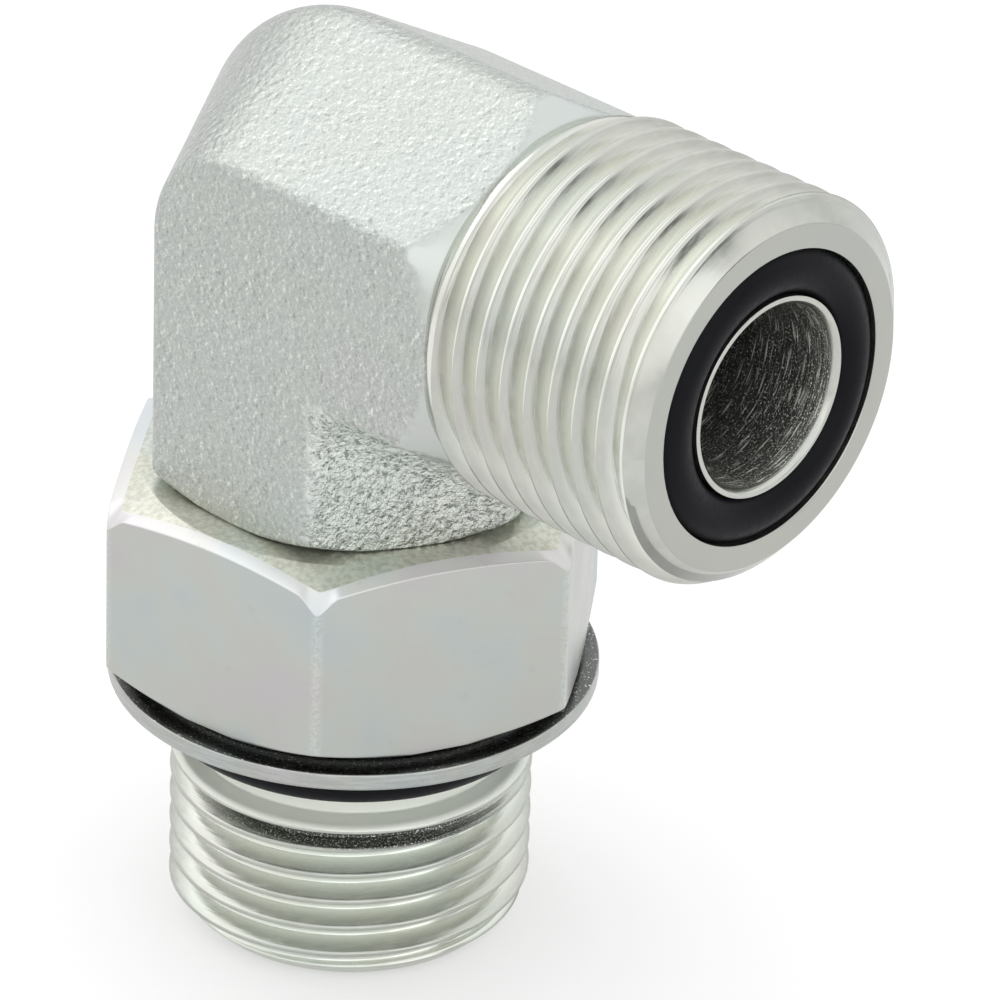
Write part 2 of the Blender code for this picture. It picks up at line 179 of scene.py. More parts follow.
def new_piece(name, points, faces, material, body):
    """Smooth mesh that rides on one body. points is (rows, columns, 3)."""
    mesh = bpy.data.meshes.new(name)
    mesh.from_pydata(points.reshape(-1, 3).tolist(), [], faces.tolist())
    mesh.materials.append(material)
    mesh.shade_smooth()
    piece = add_object(name, mesh)
    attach(piece, body)
    return piece


def store_values(piece, name, values):
    """Keeps one number for each point, for the piece's material to read."""
    layer = piece.data.attributes.new(name, "FLOAT", "POINT")
    layer.data.foreach_set("value", values.ravel().astype(np.float32))


def grid_faces(rows, columns, close_rows=False, close_columns=False):
    """Quads of a grid of points, wound so that rows run down the outside of a counter-clockwise ring."""
    last_row = rows if close_rows else rows - 1
    last_column = columns if close_columns else columns - 1
    row = np.arange(last_row)[:, None]
    column = np.arange(last_column)[None, :]
    below = (row + 1) % rows
    beside = (column + 1) % columns
    row, below = row * columns, below * columns
    corners = (row + column, below + column, below + beside, row + beside)
    return np.stack([np.broadcast_to(c, (last_row, last_column)) for c in corners], axis=-1).reshape(-1, 4)


def weld(piece, distance=1e-7):
    """Joins points that coincide, such as a thread's first and last column."""
    shape = bmesh.new()
    shape.from_mesh(piece.data)
    bmesh.ops.remove_doubles(shape, verts=shape.verts, dist=distance)
    bmesh.ops.recalc_face_normals(shape, faces=shape.faces)
    shape.to_mesh(piece.data)
    shape.free()
    piece.data.shade_smooth()
    return piece


# Longest share of a side that the curve at one of its ends may take
LONGEST_ROUND = 0.45


def softened(corners, radii, steps=3):
    """Profile with each corner replaced by a small curve.

    corners is (points, ..., 2), and radii has one value per point, 0 for a corner that stays sharp.
    """
    corners = np.asarray(corners, float)
    rows = []
    count = len(corners)
    for k in range(count):
        corner = corners[k]
        radius = radii[k]
        if radius == 0:
            rows.append(corner)
            continue
        before = corners[(k - 1) % count] - corner
        after = corners[(k + 1) % count] - corner
        back = np.linalg.norm(before, axis=-1, keepdims=True)
        ahead = np.linalg.norm(after, axis=-1, keepdims=True)
        reach_back = np.minimum(radius, back * LONGEST_ROUND)
        reach_ahead = np.minimum(radius, ahead * LONGEST_ROUND)
        start = corner + before / np.maximum(back, 1e-9) * reach_back
        end = corner + after / np.maximum(ahead, 1e-9) * reach_ahead
        for i in range(steps + 1):
            t = i / steps
            rows.append(start * (1 - t) ** 2 + corner * 2 * t * (1 - t) + end * t**2)
    return np.stack(rows)


def soft_profile(*corners, steps=3):
    """Softened profile from corners of (axial distance, radius, softening)."""
    return softened([corner[:2] for corner in corners], [corner[2] for corner in corners], steps)


def soft_least(a, b, softness):
    """The smaller of two values, with a smooth change where they cross."""
    return -softness * np.logaddexp(-a / softness, -b / softness)


def around(axial, radial, angle, lies_on_x):
    """Points of turned rows: axial distances and radii at each angle, about the arm's axis or the stud's."""
    swing = radial * np.cos(angle)
    lift = radial * np.sin(angle)
    if lies_on_x:
        return np.stack([STUD_X + axial, swing, ARM_Z + lift], axis=-1)
    return np.stack([STUD_X + swing, lift, axial + 0 * swing], axis=-1)


def thread_fall(share):
    """Depth of a 60-degree thread below its crest, at a share of a pitch from the crest's middle."""
    from_root = np.abs((share % 1.0) - 0.5) * PITCH
    flank = (PITCH * 7 / 16 - from_root) * math.sqrt(3)
    fall = soft_least(flank, THREAD_DEPTH, ROOT_SOFTNESS)
    return CREST_SOFTNESS * np.logaddexp(fall / CREST_SOFTNESS, 0.0)


def thread_rows(start, end, crest_at, crest_angle, columns):
    """Axial places and thread shares of rows that follow a right-hand helix from one plain circle to another.

    Each row holds one place of the thread's section all the way round, and joins the row one pitch on
    where the circle closes. Rows bunch together at both ends, so the sheet starts and ends on a circle.
    """
    angle = np.linspace(0.0, math.tau, columns + 1)
    first_crest = crest_at - PITCH * crest_angle / math.tau
    turns_before = math.ceil((first_crest - start) / PITCH)
    first_crest -= turns_before * PITCH
    stations = []
    crest = first_crest
    while crest < end + PITCH:
        stations += [crest + s * PITCH for s in THREAD_STATIONS]
        crest += PITCH
    per_turn = len(THREAD_STATIONS)
    padded = [start] * per_turn + stations + [end] * (2 * per_turn)
    placed = np.clip(np.array(padded), start, end)
    low = placed[:-per_turn]
    high = placed[per_turn:]
    axial = low[:, None] + (high - low)[:, None] * (angle / math.tau)[None, :]
    share = (axial - first_crest) / PITCH - angle[None, :] / math.tau
    return axial, share


def plain_rows(profile, columns):
    """Rows of a turned profile that are the same at every angle."""
    profile = np.asarray(profile, float)
    axial = np.repeat(profile[:, :1], columns + 1, axis=1)
    radial = np.repeat(profile[:, 1:], columns + 1, axis=1)
    return axial, radial


def turned_piece(name, axial, radial, lies_on_x, material, body):
    """Closed turned piece from rows that run round its section."""
    columns = axial.shape[1]
    angle = np.linspace(0.0, math.tau, columns)[None, :]
    points = around(axial, radial, angle, lies_on_x)
    return weld(new_piece(name, points, grid_faces(len(points), columns, close_rows=True), material, body))


def line_bore(piece, radius, lies_on_x, material):
    """Gives the faces inside a radius about the piece's axis the drilled finish."""
    piece.data.materials.append(material)
    for polygon in piece.data.polygons:
        centre = polygon.center
        across, lift = (centre.y, centre.z - ARM_Z) if lies_on_x else (centre.x - STUD_X, centre.y)
        if math.hypot(across, lift) < radius:
            polygon.material_index = 1


# Node helpers


def socket(group, name, kind, direction, default=None):
    """Named socket of a node group."""
    made = group.interface.new_socket(name=name, in_out=direction, socket_type=kind)
    if default is not None:
        made.default_value = default


class NodeBench:
    """Adds nodes to one tree and links them by short calls."""

    def __init__(self, tree):
        self.tree = tree

    def add(self, kind, inputs=(), **settings):
        node = self.tree.nodes.new(kind)
        for key, value in settings.items():
            setattr(node, key, value)
        for key, value in dict(inputs).items():
            self.feed(node.inputs[key], value)
        return node

    def feed(self, target, value):
        if isinstance(value, bpy.types.NodeSocket):
            self.tree.links.new(value, target)
        else:
            target.default_value = value

    def maths(self, operation, first, second=0.0, third=0.0, clamp=False):
        node = self.add("ShaderNodeMath", operation=operation, use_clamp=clamp)
        for target, value in zip(node.inputs, (first, second, third)):
            self.feed(target, value)
        return node.outputs[0]

    def vector(self, operation, first, second=(0.0, 0.0, 0.0)):
        node = self.add("ShaderNodeVectorMath", operation=operation)
        self.feed(node.inputs[0], first)
        self.feed(node.inputs[1], second)
        return node.outputs["Value"] if operation in ("LENGTH", "DOT_PRODUCT") else node.outputs["Vector"]

    def between(self, value, low, high, out_low=0.0, out_high=1.0):
        spread = {"From Min": low, "From Max": high, "To Min": out_low, "To Max": out_high}
        node = self.add("ShaderNodeMapRange", {"Value": value, **spread}, interpolation_type="SMOOTHSTEP")
        return node.outputs["Result"]

    def noise(self, vector, scale, detail=2.0, roughness=0.5):
        inputs = {"Vector": vector, "Scale": scale, "Detail": detail, "Roughness": roughness}
        return self.add("ShaderNodeTexNoise", inputs).outputs["Fac"]

    def mix(self, share, first, second, kind="RGBA", blend="MIX"):
        node = self.add("ShaderNodeMix", data_type=kind, blend_type=blend)
        self.feed(node.inputs["Factor"], share)
        self.feed(node.inputs["A"], first)
        self.feed(node.inputs["B"], second)
        return node.outputs["Result"]

    def group(self, tree, **inputs):
        node = self.add("ShaderNodeGroup", node_tree=tree)
        for key, value in inputs.items():
            self.feed(node.inputs[key], value)
        return node.outputs

    def combine(self, x, y):
        return self.add("ShaderNodeCombineXYZ", {"X": x, "Y": y}).outputs[0]

    def attribute(self, name):
        return self.add("ShaderNodeAttribute", attribute_name=name).outputs["Fac"]

    def finish(self, shader, colour, roughness, height, strength, distance):
        """Feeds a shader its colour, its roughness and the bump of a height."""
        bump = self.add("ShaderNodeBump", {"Height": height, "Strength": strength, "Distance": distance})
        self.feed(shader.inputs["Base Color"], colour)
        self.feed(shader.inputs["Roughness"], roughness)
        self.feed(shader.inputs["Normal"], bump.outputs["Normal"])


def new_group(name, inputs, outputs):
    """Node group with named sockets: (name, kind, default) going in and (name, kind) coming out."""
    group = bpy.data.node_groups.new(name, "ShaderNodeTree")
    for label, kind, default in inputs:
        socket(group, label, kind, "INPUT", default)
    for label, kind in outputs:
        socket(group, label, kind, "OUTPUT")
    bench = NodeBench(group)
    entry = bench.add("NodeGroupInput").outputs
    leave = bench.add("NodeGroupOutput").inputs
    return group, bench, entry, leave


FLOAT = "NodeSocketFloat"
COLOR = "NodeSocketColor"
VECTOR = "NodeSocketVector"


# Step between two readings of the grain, which gives its pebbles a painted lit side and a painted shaded side
RELIEF_STEP = (-0.00007, -0.00004, 0.00007)
# Turn of the grain's pattern, so that none of its rows runs along a flat
GRAIN_TURN = (0.6, 0.4, 0.9)


def blast_grain_group():
    """Dimples of a shot-blasted, plated forging, with masks for painted glints, for the painted lit and
    shaded sides of its pebbles and for painted shade in its pits. Scales are in shares of the grain's size.
    """
    group, bench, entry, leave = new_group(
        "blast_grain",
        [("Place", VECTOR, None), ("Grain", FLOAT, 0.00026), ("Coarse", FLOAT, 0.0)],
        [("Height", FLOAT), ("Speck", FLOAT), ("Mottle", FLOAT), ("Relief", FLOAT), ("Pit", FLOAT)],
    )
    per_metre = bench.maths("DIVIDE", 1.0, entry["Grain"])

    def scaled(share):
        return bench.maths("MULTIPLY", per_metre, share)

    turned = bench.add("ShaderNodeMapping", {"Vector": entry["Place"], "Rotation": GRAIN_TURN}).outputs[0]
    fine = bench.noise(turned, scaled(0.9), 3.0, 0.6)
    dimples = {"Vector": turned, "Scale": scaled(0.62)}
    pits = bench.add("ShaderNodeTexVoronoi", dimples, feature="SMOOTH_F1").outputs["Distance"]
    big = bench.noise(turned, scaled(0.75), 3.0, 0.65)
    fine_part = bench.maths("MULTIPLY", fine, 0.6)
    pit_part = bench.maths("MULTIPLY", pits, 0.5)
    big_part = bench.maths("MULTIPLY", big, bench.maths("MULTIPLY_ADD", entry["Coarse"], 1.6, 0.35))
    bench.feed(leave["Height"], bench.maths("ADD", bench.maths("ADD", fine_part, pit_part), big_part))
    pebbles = scaled(0.60)
    beside = bench.vector("ADD", turned, RELIEF_STEP)
    here = bench.noise(turned, pebbles, 3.0, 0.65)
    there = bench.noise(beside, pebbles, 3.0, 0.65)
    # Painted light: the difference of two offset readings lightens one side of each pebble and darkens the
    # other
    bench.feed(leave["Relief"], bench.maths("SUBTRACT", there, here))
    # Painted shade in the grain's pits
    bench.feed(leave["Pit"], bench.between(bench.noise(beside, pebbles, 1.0, 0.4), 0.20, 0.27, 0.8, 0.0))
    # Mask of painted glints on the grain
    bench.feed(leave["Speck"], bench.between(bench.noise(turned, scaled(1.5), 2.0, 0.6), 0.52, 0.70))
    bench.feed(leave["Mottle"], bench.noise(turned, scaled(0.06), 3.0, 0.6))
    return group


def turning_marks_group():
    """Fine rings that a lathe tool leaves about an axis."""
    group, bench, entry, leave = new_group(
        "turning_marks",
        [("Along", FLOAT, 0.0), ("Radius", FLOAT, 0.0), ("Angle", FLOAT, 0.0), ("Spacing", FLOAT, 0.0001)],
        [("Height", FLOAT), ("Streak", FLOAT)],
    )
    steps = bench.maths("DIVIDE", bench.maths("ADD", entry["Along"], entry["Radius"]), entry["Spacing"])
    rings = bench.combine(steps, bench.maths("MULTIPLY", entry["Angle"], 1.2))
    patches = bench.combine(bench.maths("MULTIPLY", steps, 0.7), bench.maths("MULTIPLY", entry["Angle"], 6.0))
    bench.feed(leave["Height"], bench.noise(rings, 1.0, 2.0, 0.6))
    bench.feed(leave["Streak"], bench.between(bench.noise(patches, 1.0, 2.0, 0.6), 0.35, 0.7))
    return group


# Hues of thin zinc plate: place along the drift, and tint
PLATING_TINTS = (
    (0.0, (0.90, 0.96, 1.0)),
    (0.35, (0.97, 1.0, 0.98)),
    (0.6, (1.0, 0.985, 0.93)),
    (1.0, (1.0, 0.92, 0.96)),
)


def plating_tint_group():
    """Soft drift of hue in thin zinc plate, from blue through cream to rose."""
    group, bench, entry, leave = new_group(
        "plating_tint",
        [("Base", COLOR, None), ("Place", VECTOR, None), ("Scale", FLOAT, 120.0), ("Strength", FLOAT, 0.5)],
        [("Color", COLOR)],
    )
    drift = bench.noise(entry["Place"], entry["Scale"], 2.0, 0.5)
    ramp = bench.add("ShaderNodeValToRGB", {"Fac": bench.between(drift, 0.25, 0.75)})
    band = ramp.color_ramp
    while len(band.elements) < len(PLATING_TINTS):
        band.elements.new(0.5)
    for element, (position, shade) in zip(band.elements, PLATING_TINTS):
        element.position = position
        element.color = (*shade, 1.0)
    tinted = bench.mix(entry["Strength"], entry["Base"], ramp.outputs["Color"], blend="MULTIPLY")
    bench.feed(leave["Color"], tinted)
    return group


def polar_group():
    """Distance along, distance from and angle about the arm's axis or the stud's."""
    group, bench, entry, leave = new_group(
        "polar_place",
        [("Place", VECTOR, None), ("Origin", VECTOR, None), ("Upright", FLOAT, 1.0)],
        [("Along", FLOAT), ("Radius", FLOAT), ("Angle", FLOAT)],
    )
    local = bench.vector("SUBTRACT", entry["Place"], entry["Origin"])
    parts = bench.add("ShaderNodeSeparateXYZ", {"Vector": local}).outputs
    along, across, lift = [
        bench.mix(entry["Upright"], parts[lying], parts[standing], "FLOAT")
        for lying, standing in (("X", "Z"), ("Y", "X"), ("Z", "Y"))
    ]
    bench.feed(leave["Along"], along)
    bench.feed(leave["Radius"], bench.vector("LENGTH", bench.combine(across, lift)))
    bench.feed(leave["Angle"], bench.maths("ARCTAN2", lift, across))
    return group


EFFECTS = {}


def effect(name):
    """Shared node group, built on first use."""
    makers = {
        "blast_grain": blast_grain_group,
        "turning_marks": turning_marks_group,
        "plating_tint": plating_tint_group,
        "polar_place": polar_group,
    }
    if name not in EFFECTS:
        EFFECTS[name] = makers[name]()
    return EFFECTS[name]


def new_material(name, metallic=1.0):
    """Empty Principled material: returns it with a bench, its shader and the place on the object."""
    material = bpy.data.materials.new(name)
    material.use_nodes = True
    tree = material.node_tree
    shader = tree.nodes["Principled BSDF"]
    shader.inputs["Metallic"].default_value = metallic
    bench = NodeBench(tree)
    place = bench.add("ShaderNodeTexCoord").outputs["Object"]
    return material, bench, shader, place


def rgba(shade, gain=1.0):
    """Colour socket value of a shade, made lighter or darker by a factor."""
    return (*[channel * gain for channel in shade], 1.0)


ARM_ORIGIN = (STUD_X, 0.0, ARM_Z)
STUD_ORIGIN = (STUD_X, 0.0, 0.0)

# Middle of the side of the stud where a dark reflection of the O-ring is painted on the thread
PAINTED_DARK_ANGLE = math.radians(-47.4)

# Finish, painted light and painted shade along the arm, measured back from its face, and along the stud, by
# height
PALE_ROOTS_END = 0.00095
FACE_SHADE = 0.00006
STUD_THREAD_END = 0.0091
DULL_LIT_BAND = (0.00962, 0.0135)
PAINTED_DARK_BAND = ((0.0085, 0.0087), (0.0091, 0.0093))

# Spacing of tool rings on the threads, the washer and the passage, and of the drill's scratches
TOOL_FEED = 0.00009
WASHER_RINGS = 0.00012
DRILL_FEED = 0.00016
SCRATCH_SPACING = 0.00010

# Fineness of dust, wear and dents, in features to the metre
GRIT_SCALE = 11000.0
DUST_SCALE = 9000.0
WEAR_SCALE = 5200.0
FACING_SCALE = 3200.0
RUBBER_DUST_SCALE = 2600.0
DENT_SCALE = 900.0

# Shades beside the plate's own, with a painted glint on the forging and a painted highlight on the nut's
# chamfer
PAINTED_GLINT = (0.88, 0.90, 0.84)
FACING_DARK = (0.57, 0.585, 0.52)
FACING_LIGHT = (0.72, 0.73, 0.66)
CHAMFER_HIGHLIGHT = (0.76, 0.765, 0.775)
BRIGHT_CHIP = (0.97, 0.98, 0.90)


def turned_place(bench, place, origin, upright, spacing):
    """Place about a turned piece's axis, and the marks that its tool left there."""
    polar = bench.group(effect("polar_place"), Place=place, Origin=origin, Upright=upright)
    about_axis = {key: polar[key] for key in ("Along", "Radius", "Angle")}
    return polar, bench.group(effect("turning_marks"), Spacing=spacing, **about_axis)


def forged_zinc(settings):
    """Zinc plate on the blasted forging, coarser in the crotch and smooth where the lathe cut, with painted
    glints, painted lit and shaded sides of its grain, painted shade in its pits and a crotch lightened by
    painted light.
    """
    material, bench, shader, place = new_material("forged_zinc")
    turned = bench.attribute("turned")
    crotch = bench.attribute("crotch")
    grain = bench.group(effect("blast_grain"), Place=place, Grain=settings.grain_size, Coarse=crotch)
    blasted = bench.maths("SUBTRACT", 1.0, turned)
    strength = bench.maths("MULTIPLY", blasted, bench.maths("MULTIPLY_ADD", crotch, 0.25, 0.75))
    # Painted glints, more of them in the crotch
    glint_share = bench.maths("MULTIPLY", grain["Speck"], bench.maths("MULTIPLY_ADD", crotch, 0.4, 0.6))
    # Painted light: the crotch's ground is lightened to 1.55 times the zinc
    ground = bench.mix(crotch, rgba(settings.zinc, 0.93), rgba(settings.zinc, 1.55))
    # Painted lit and shaded sides of the grain's pebbles, stronger in the crotch, and painted shade in its
    # pits at 0.55 of the zinc
    relief = bench.maths("MULTIPLY", grain["Relief"], bench.maths("MULTIPLY_ADD", crotch, 1.4, 1.45))
    lit = bench.between(relief, 0.02, 0.35)
    shaded = bench.between(relief, -0.35, -0.02, 1.0, 0.0)
    ground = bench.mix(bench.maths("MAXIMUM", shaded, grain["Pit"]), ground, rgba(settings.zinc, 0.55))
    # Painted glint colour over the painted lit sides and the glints
    pale = bench.maths("MAXIMUM", bench.maths("MULTIPLY", glint_share, 0.6), lit)
    specked = bench.mix(pale, ground, rgba(PAINTED_GLINT))
    mottled = bench.mix(bench.between(grain["Mottle"], 0.30, 0.75, 0.0, 0.35), specked, rgba(settings.zinc))
    plated = bench.mix(turned, mottled, rgba(settings.zinc, 1.12))
    tinted = bench.group(effect("plating_tint"), Base=plated, Place=place, Scale=90.0, Strength=0.25)
    roughness = bench.maths("MULTIPLY_ADD", turned, -0.10, 0.36)
    bench.finish(shader, tinted["Color"], roughness, grain["Height"], strength, 0.00016)
    return material


def turned_zinc(name, shade, origin, upright, crest_radius, thread_end, dull=None, painted_dark_band=None, face=None):
    """Zinc plate on a turned thread, with tool rings and a paler colour deeper in the thread.

    dull is a shoulder that is less metallic and rougher and lightened by painted light, the dark band a
    painted dark reflection of the O-ring with specks, on one side of the stud, and face the place from which
    painted shade darkens the plate, each measured along the axis.
    """
    material, bench, shader, place = new_material(name)
    polar, marks = turned_place(bench, place, origin, upright, TOOL_FEED)
    along = polar["Along"]
    colour = bench.mix(marks["Streak"], rgba(shade, 0.95), rgba(shade, 1.05))
    # Paler colour deeper in the thread, up to the thread's end
    depth = bench.between(polar["Radius"], crest_radius - 0.0010, crest_radius - 0.0001, 1.0, 0.0)
    inside = bench.between(along, thread_end, thread_end + 0.0001, 1.0, 0.0)
    colour = bench.mix(bench.maths("MULTIPLY", depth, inside), colour, rgba(shade, 1.45))
    roughness = bench.maths("MULTIPLY_ADD", marks["Streak"], 0.10, 0.17)
    # Painted shade: from the face on, the plate is darkened to 0.85 of its colour
    if face:
        colour = bench.mix(bench.between(along, face, face + 0.00003), colour, rgba(shade, 0.85))
    # Painted dark reflection of the O-ring on one side of the stud's thread below the collar, broken by
    # specks
    if painted_dark_band:
        fade_out = bench.between(along, *painted_dark_band[1], 1.0, 0.0)
        band = bench.maths("MULTIPLY", bench.between(along, *painted_dark_band[0]), fade_out)
        side = bench.maths("COSINE", bench.maths("SUBTRACT", polar["Angle"], PAINTED_DARK_ANGLE))
        painted_dark = bench.maths("MULTIPLY", band, bench.between(side, 0.35, 0.95))
        dust = bench.noise(place, GRIT_SCALE, 2.0, 0.7)
        specks = bench.mix(bench.between(dust, 0.50, 0.72), rgba(shade, 0.10), rgba(shade, 1.1))
        colour = bench.mix(painted_dark, colour, specks)
    # Painted light: the shoulder is lightened to 1.75 times the zinc; it is also less metallic and rougher
    if dull:
        rise = bench.between(along, dull[0], dull[0] + 0.00008)
        shoulder = bench.maths("MULTIPLY", rise, bench.between(along, dull[1], dull[1] + 0.0002, 1.0, 0.0))
        colour = bench.mix(shoulder, colour, rgba(shade, 1.75))
        bench.feed(shader.inputs["Metallic"], bench.maths("MULTIPLY_ADD", shoulder, -0.75, 1.0))
        roughness = bench.maths("MULTIPLY_ADD", shoulder, 0.2, roughness)
    tinted = bench.group(effect("plating_tint"), Base=colour, Place=place, Scale=160.0, Strength=0.25)
    bench.finish(shader, tinted["Color"], roughness, marks["Height"], 0.14, 0.00006)
    return material


def nut_zinc(settings):
    """Smooth zinc plate on the nut, with a faint play of colour, small handling marks and a painted highlight
    on its top chamfer.
    """
    material, bench, shader, place = new_material("nut_zinc")
    turned = bench.attribute("turned")
    chamfer = bench.attribute("chamfer")
    corner = bench.attribute("corner")
    ragged = bench.between(bench.noise(place, WEAR_SCALE, 2.0, 0.6), 0.38, 0.58)
    lathe = bench.noise(place, FACING_SCALE, 2.0, 0.6)
    cream = bench.mix(bench.between(lathe, 0.35, 0.65), rgba(FACING_DARK), rgba(FACING_LIGHT))
    facing = bench.mix(turned, rgba(settings.zinc), cream)
    # Painted highlight: the top chamfer is a pale strip
    cut = bench.mix(chamfer, facing, rgba(CHAMFER_HIGHLIGHT))
    dulled_by = bench.maths("MULTIPLY_ADD", chamfer, 0.30, bench.maths("MULTIPLY", turned, 0.18))
    bench.feed(shader.inputs["Metallic"], bench.maths("SUBTRACT", 1.0, dulled_by))
    rubbed = bench.mix(bench.maths("MULTIPLY", corner, ragged), cut, rgba(settings.zinc, 1.25))
    tinted = bench.group(effect("plating_tint"), Base=rubbed, Place=place, Scale=210.0, Strength=0.75)
    grain = bench.group(effect("blast_grain"), Place=place, Grain=0.0005, Coarse=0.0)
    dents = bench.between(bench.noise(place, DENT_SCALE, 3.0, 0.6), 0.62, 0.78)
    dulled = bench.mix(bench.maths("MULTIPLY", dents, 0.25), tinted["Color"], rgba(settings.zinc, 0.8))
    roughness = bench.between(grain["Mottle"], 0.3, 0.7, 0.27, 0.36)
    bench.finish(shader, dulled, roughness, grain["Mottle"], 0.25, 0.0002)
    return material


def washer_zinc(settings):
    """Zinc plate on the stamped washer, with painted shade and pale dust specks on its upper face."""
    material, bench, shader, place = new_material("washer_zinc")
    polar, marks = turned_place(bench, place, STUD_ORIGIN, 1.0, WASHER_RINGS)
    streaked = bench.mix(marks["Streak"], rgba(settings.zinc, 0.9), rgba(settings.zinc, 1.06))
    # Painted shade: the upper face is darkened to 0.3 of the zinc, with pale specks of dust
    upper = bench.between(polar["Along"], WASHER_HIGH.z - 0.00003, WASHER_HIGH.z - 0.00001)
    specks = bench.between(bench.noise(place, DUST_SCALE, 1.0, 0.5), 0.66, 0.70)
    dust_on_painted_shade = bench.mix(specks, rgba(settings.zinc, 0.3), rgba(settings.zinc, 1.5))
    streaked = bench.mix(upper, streaked, dust_on_painted_shade)
    tinted = bench.group(effect("plating_tint"), Base=streaked, Place=place, Scale=130.0, Strength=0.6)
    roughness = bench.maths("MULTIPLY_ADD", marks["Streak"], 0.08, 0.26)
    bench.finish(shader, tinted["Color"], roughness, marks["Height"], 0.12, 0.00006)
    return material


def bore_zinc(settings):
    """Drilled passage wall, dull and dark, with bright rings and chips from the drill."""
    material, bench, shader, place = new_material("bore_zinc")
    polar, marks = turned_place(bench, place, ARM_ORIGIN, 0.0, DRILL_FEED)
    across = bench.maths("DIVIDE", bench.maths("ADD", polar["Along"], polar["Radius"]), SCRATCH_SPACING)
    lines = bench.combine(across, bench.maths("MULTIPLY", polar["Angle"], 3.0))
    chips = bench.combine(across, bench.maths("MULTIPLY", polar["Angle"], 32.0))
    scratch = bench.between(bench.noise(lines, 1.0, 1.0, 0.5), 0.56, 0.72)
    chip = bench.between(bench.noise(chips, 1.3, 2.0, 0.6), 0.55, 0.68)
    bright = bench.maths("MAXIMUM", bench.maths("MULTIPLY", scratch, 0.8), chip)
    ring = bench.mix(bright, rgba(settings.zinc, 0.32), rgba(BRIGHT_CHIP))
    bench.feed(shader.inputs["Metallic"], bench.maths("MULTIPLY_ADD", bright, -0.85, 0.9))
    bench.finish(shader, ring, 0.42, marks["Height"], 0.8, 0.00008)
    return material


def nitrile_rubber(settings):
    """Semi-gloss black rubber with a trace of dust."""
    material, bench, shader, place = new_material("nitrile", metallic=0.0)
    dust = bench.noise(place, RUBBER_DUST_SCALE, 3.0, 0.65)
    share = bench.between(dust, 0.60, 0.85, 0.0, 0.35)
    dusted = bench.mix(share, rgba(settings.nitrile), rgba(settings.nitrile, 2.6))
    shader.inputs["Specular IOR Level"].default_value = 0.10
    bench.finish(shader, dusted, bench.between(dust, 0.3, 0.8, 0.34, 0.5), dust, 0.08, 0.0001)
    return material


# Pieces

# Points round each edge of the forging's hexagon and along each of its flats
EDGE_STEPS = 8
FLAT_STEPS = 12

# Rows of the forging, as shares of its leg, bend and arm: closer together where the lathe cut it
LEG_ROWS = np.concatenate([np.linspace(0, 0.12, 12), np.linspace(0.12, 1, 22)[1:]])
BEND_ROWS = np.linspace(0, 1, 40)[1:]
ARM_ROWS = np.concatenate([np.linspace(0, 0.55, 14)[1:], np.linspace(0.55, 1, 44)[1:]])

# Lathe's cuts behind the arm's thread and above the nut
SHOULDER_SLOPE = math.tan(math.radians(37.5))
FOOT_SLOPE = math.tan(math.radians(30))
FOOT_CUT_HEIGHT = 0.003
LATHE_SOFTNESS = 0.00007
CORNER_MARGIN = 0.0003
CUT_FADE = 0.00012
FINISH_FADE = 0.0001

# Corner of the elbow with the coarse grain and a ground lightened by painted light, from the bend's centre,
# and the width over which it fades
CROTCH_FROM = 0.0052
CROTCH_FADE = 0.0008

# Open ends of the forging's skin turn in to this share of their radius
LIP_SHARE = 0.93
SKIN_THICKNESS = 0.0004

# Face-seal end: distances from the stud's axis, and radii
ARM_ROOT = ((0.0115, 0.0060), (0.0115, 0.0086), (0.0132, 0.0093))
ARM_START_X = 0.01385
RUN_OUT_X = 0.0140
RUN_OUT_SLOPE = 1.35
NECK_RADIUS = 0.00945
BEVEL_LENGTH = 0.00072
BEVEL_LOW_RADIUS = 0.00979
THREAD_END_LENGTH = 0.00025
THREAD_END_SLOPE = 2.0
FACE_RADIUS = 0.00898
GROOVE_RADIUS = 0.0077
GROOVE_DEPTH = 0.0016
GROOVE_TAPER = 0.0001
NOZZLE_RADIUS = 0.00526
NOZZLE_SETBACK = 0.0001
NOZZLE_BEVEL_LENGTH = 0.0003
ARM_BORE_RADIUS = 0.0048
ARM_BORE_FROM = 0.0122
ARM_BORE_ROW = 0.002
BORE_BEVEL = 0.0002

# Port stud: heights and radii
STUD_BORE_RADIUS = 0.00495
STUD_BEVEL_TOP = 0.0016
STUD_START_SHARE = 0.2
STUD_END_RADIUS = 0.00783
STUD_LIP_RADIUS = 0.00765
STUD_THREAD_TOP = 0.00992
COLLAR_FROM = 0.0089
COLLAR_FULL = 0.00950
COLLAR_ROUND = 0.00034
COLLAR_DROP = 0.00049
COLLAR_TOP_RADIUS = 0.0090
STUD_TOP = 0.0285

# Stud above its thread, as height, radius and softening: collar, undercut, stretch in the nut, relief
STUD_UPPER = (
    (0.00995, 0.0086, 0.00008),
    (0.00998, 0.0082, 0.0002),
    (0.0109, 0.00805, 0.0004),
    (0.0152, 0.00805, 0.0003),
    (0.0164, 0.0091, 0.0002),
    (0.0172, 0.0091, 0),
    (0.0250, 0.0091, 0.0002),
    (0.0255, 0.0088, 0.0002),
    (STUD_TOP, 0.0088, 0),
)

# Passages: drilled this far past each other's axis. Their mouths are found within a small reach
DRILL_PAST_AXIS = 0.0015
DRILL_SEGMENTS = 96
MOUTH_REACH = 0.0001
BORE_REACH = 0.00002
ARM_BORE_REACH = 0.00006

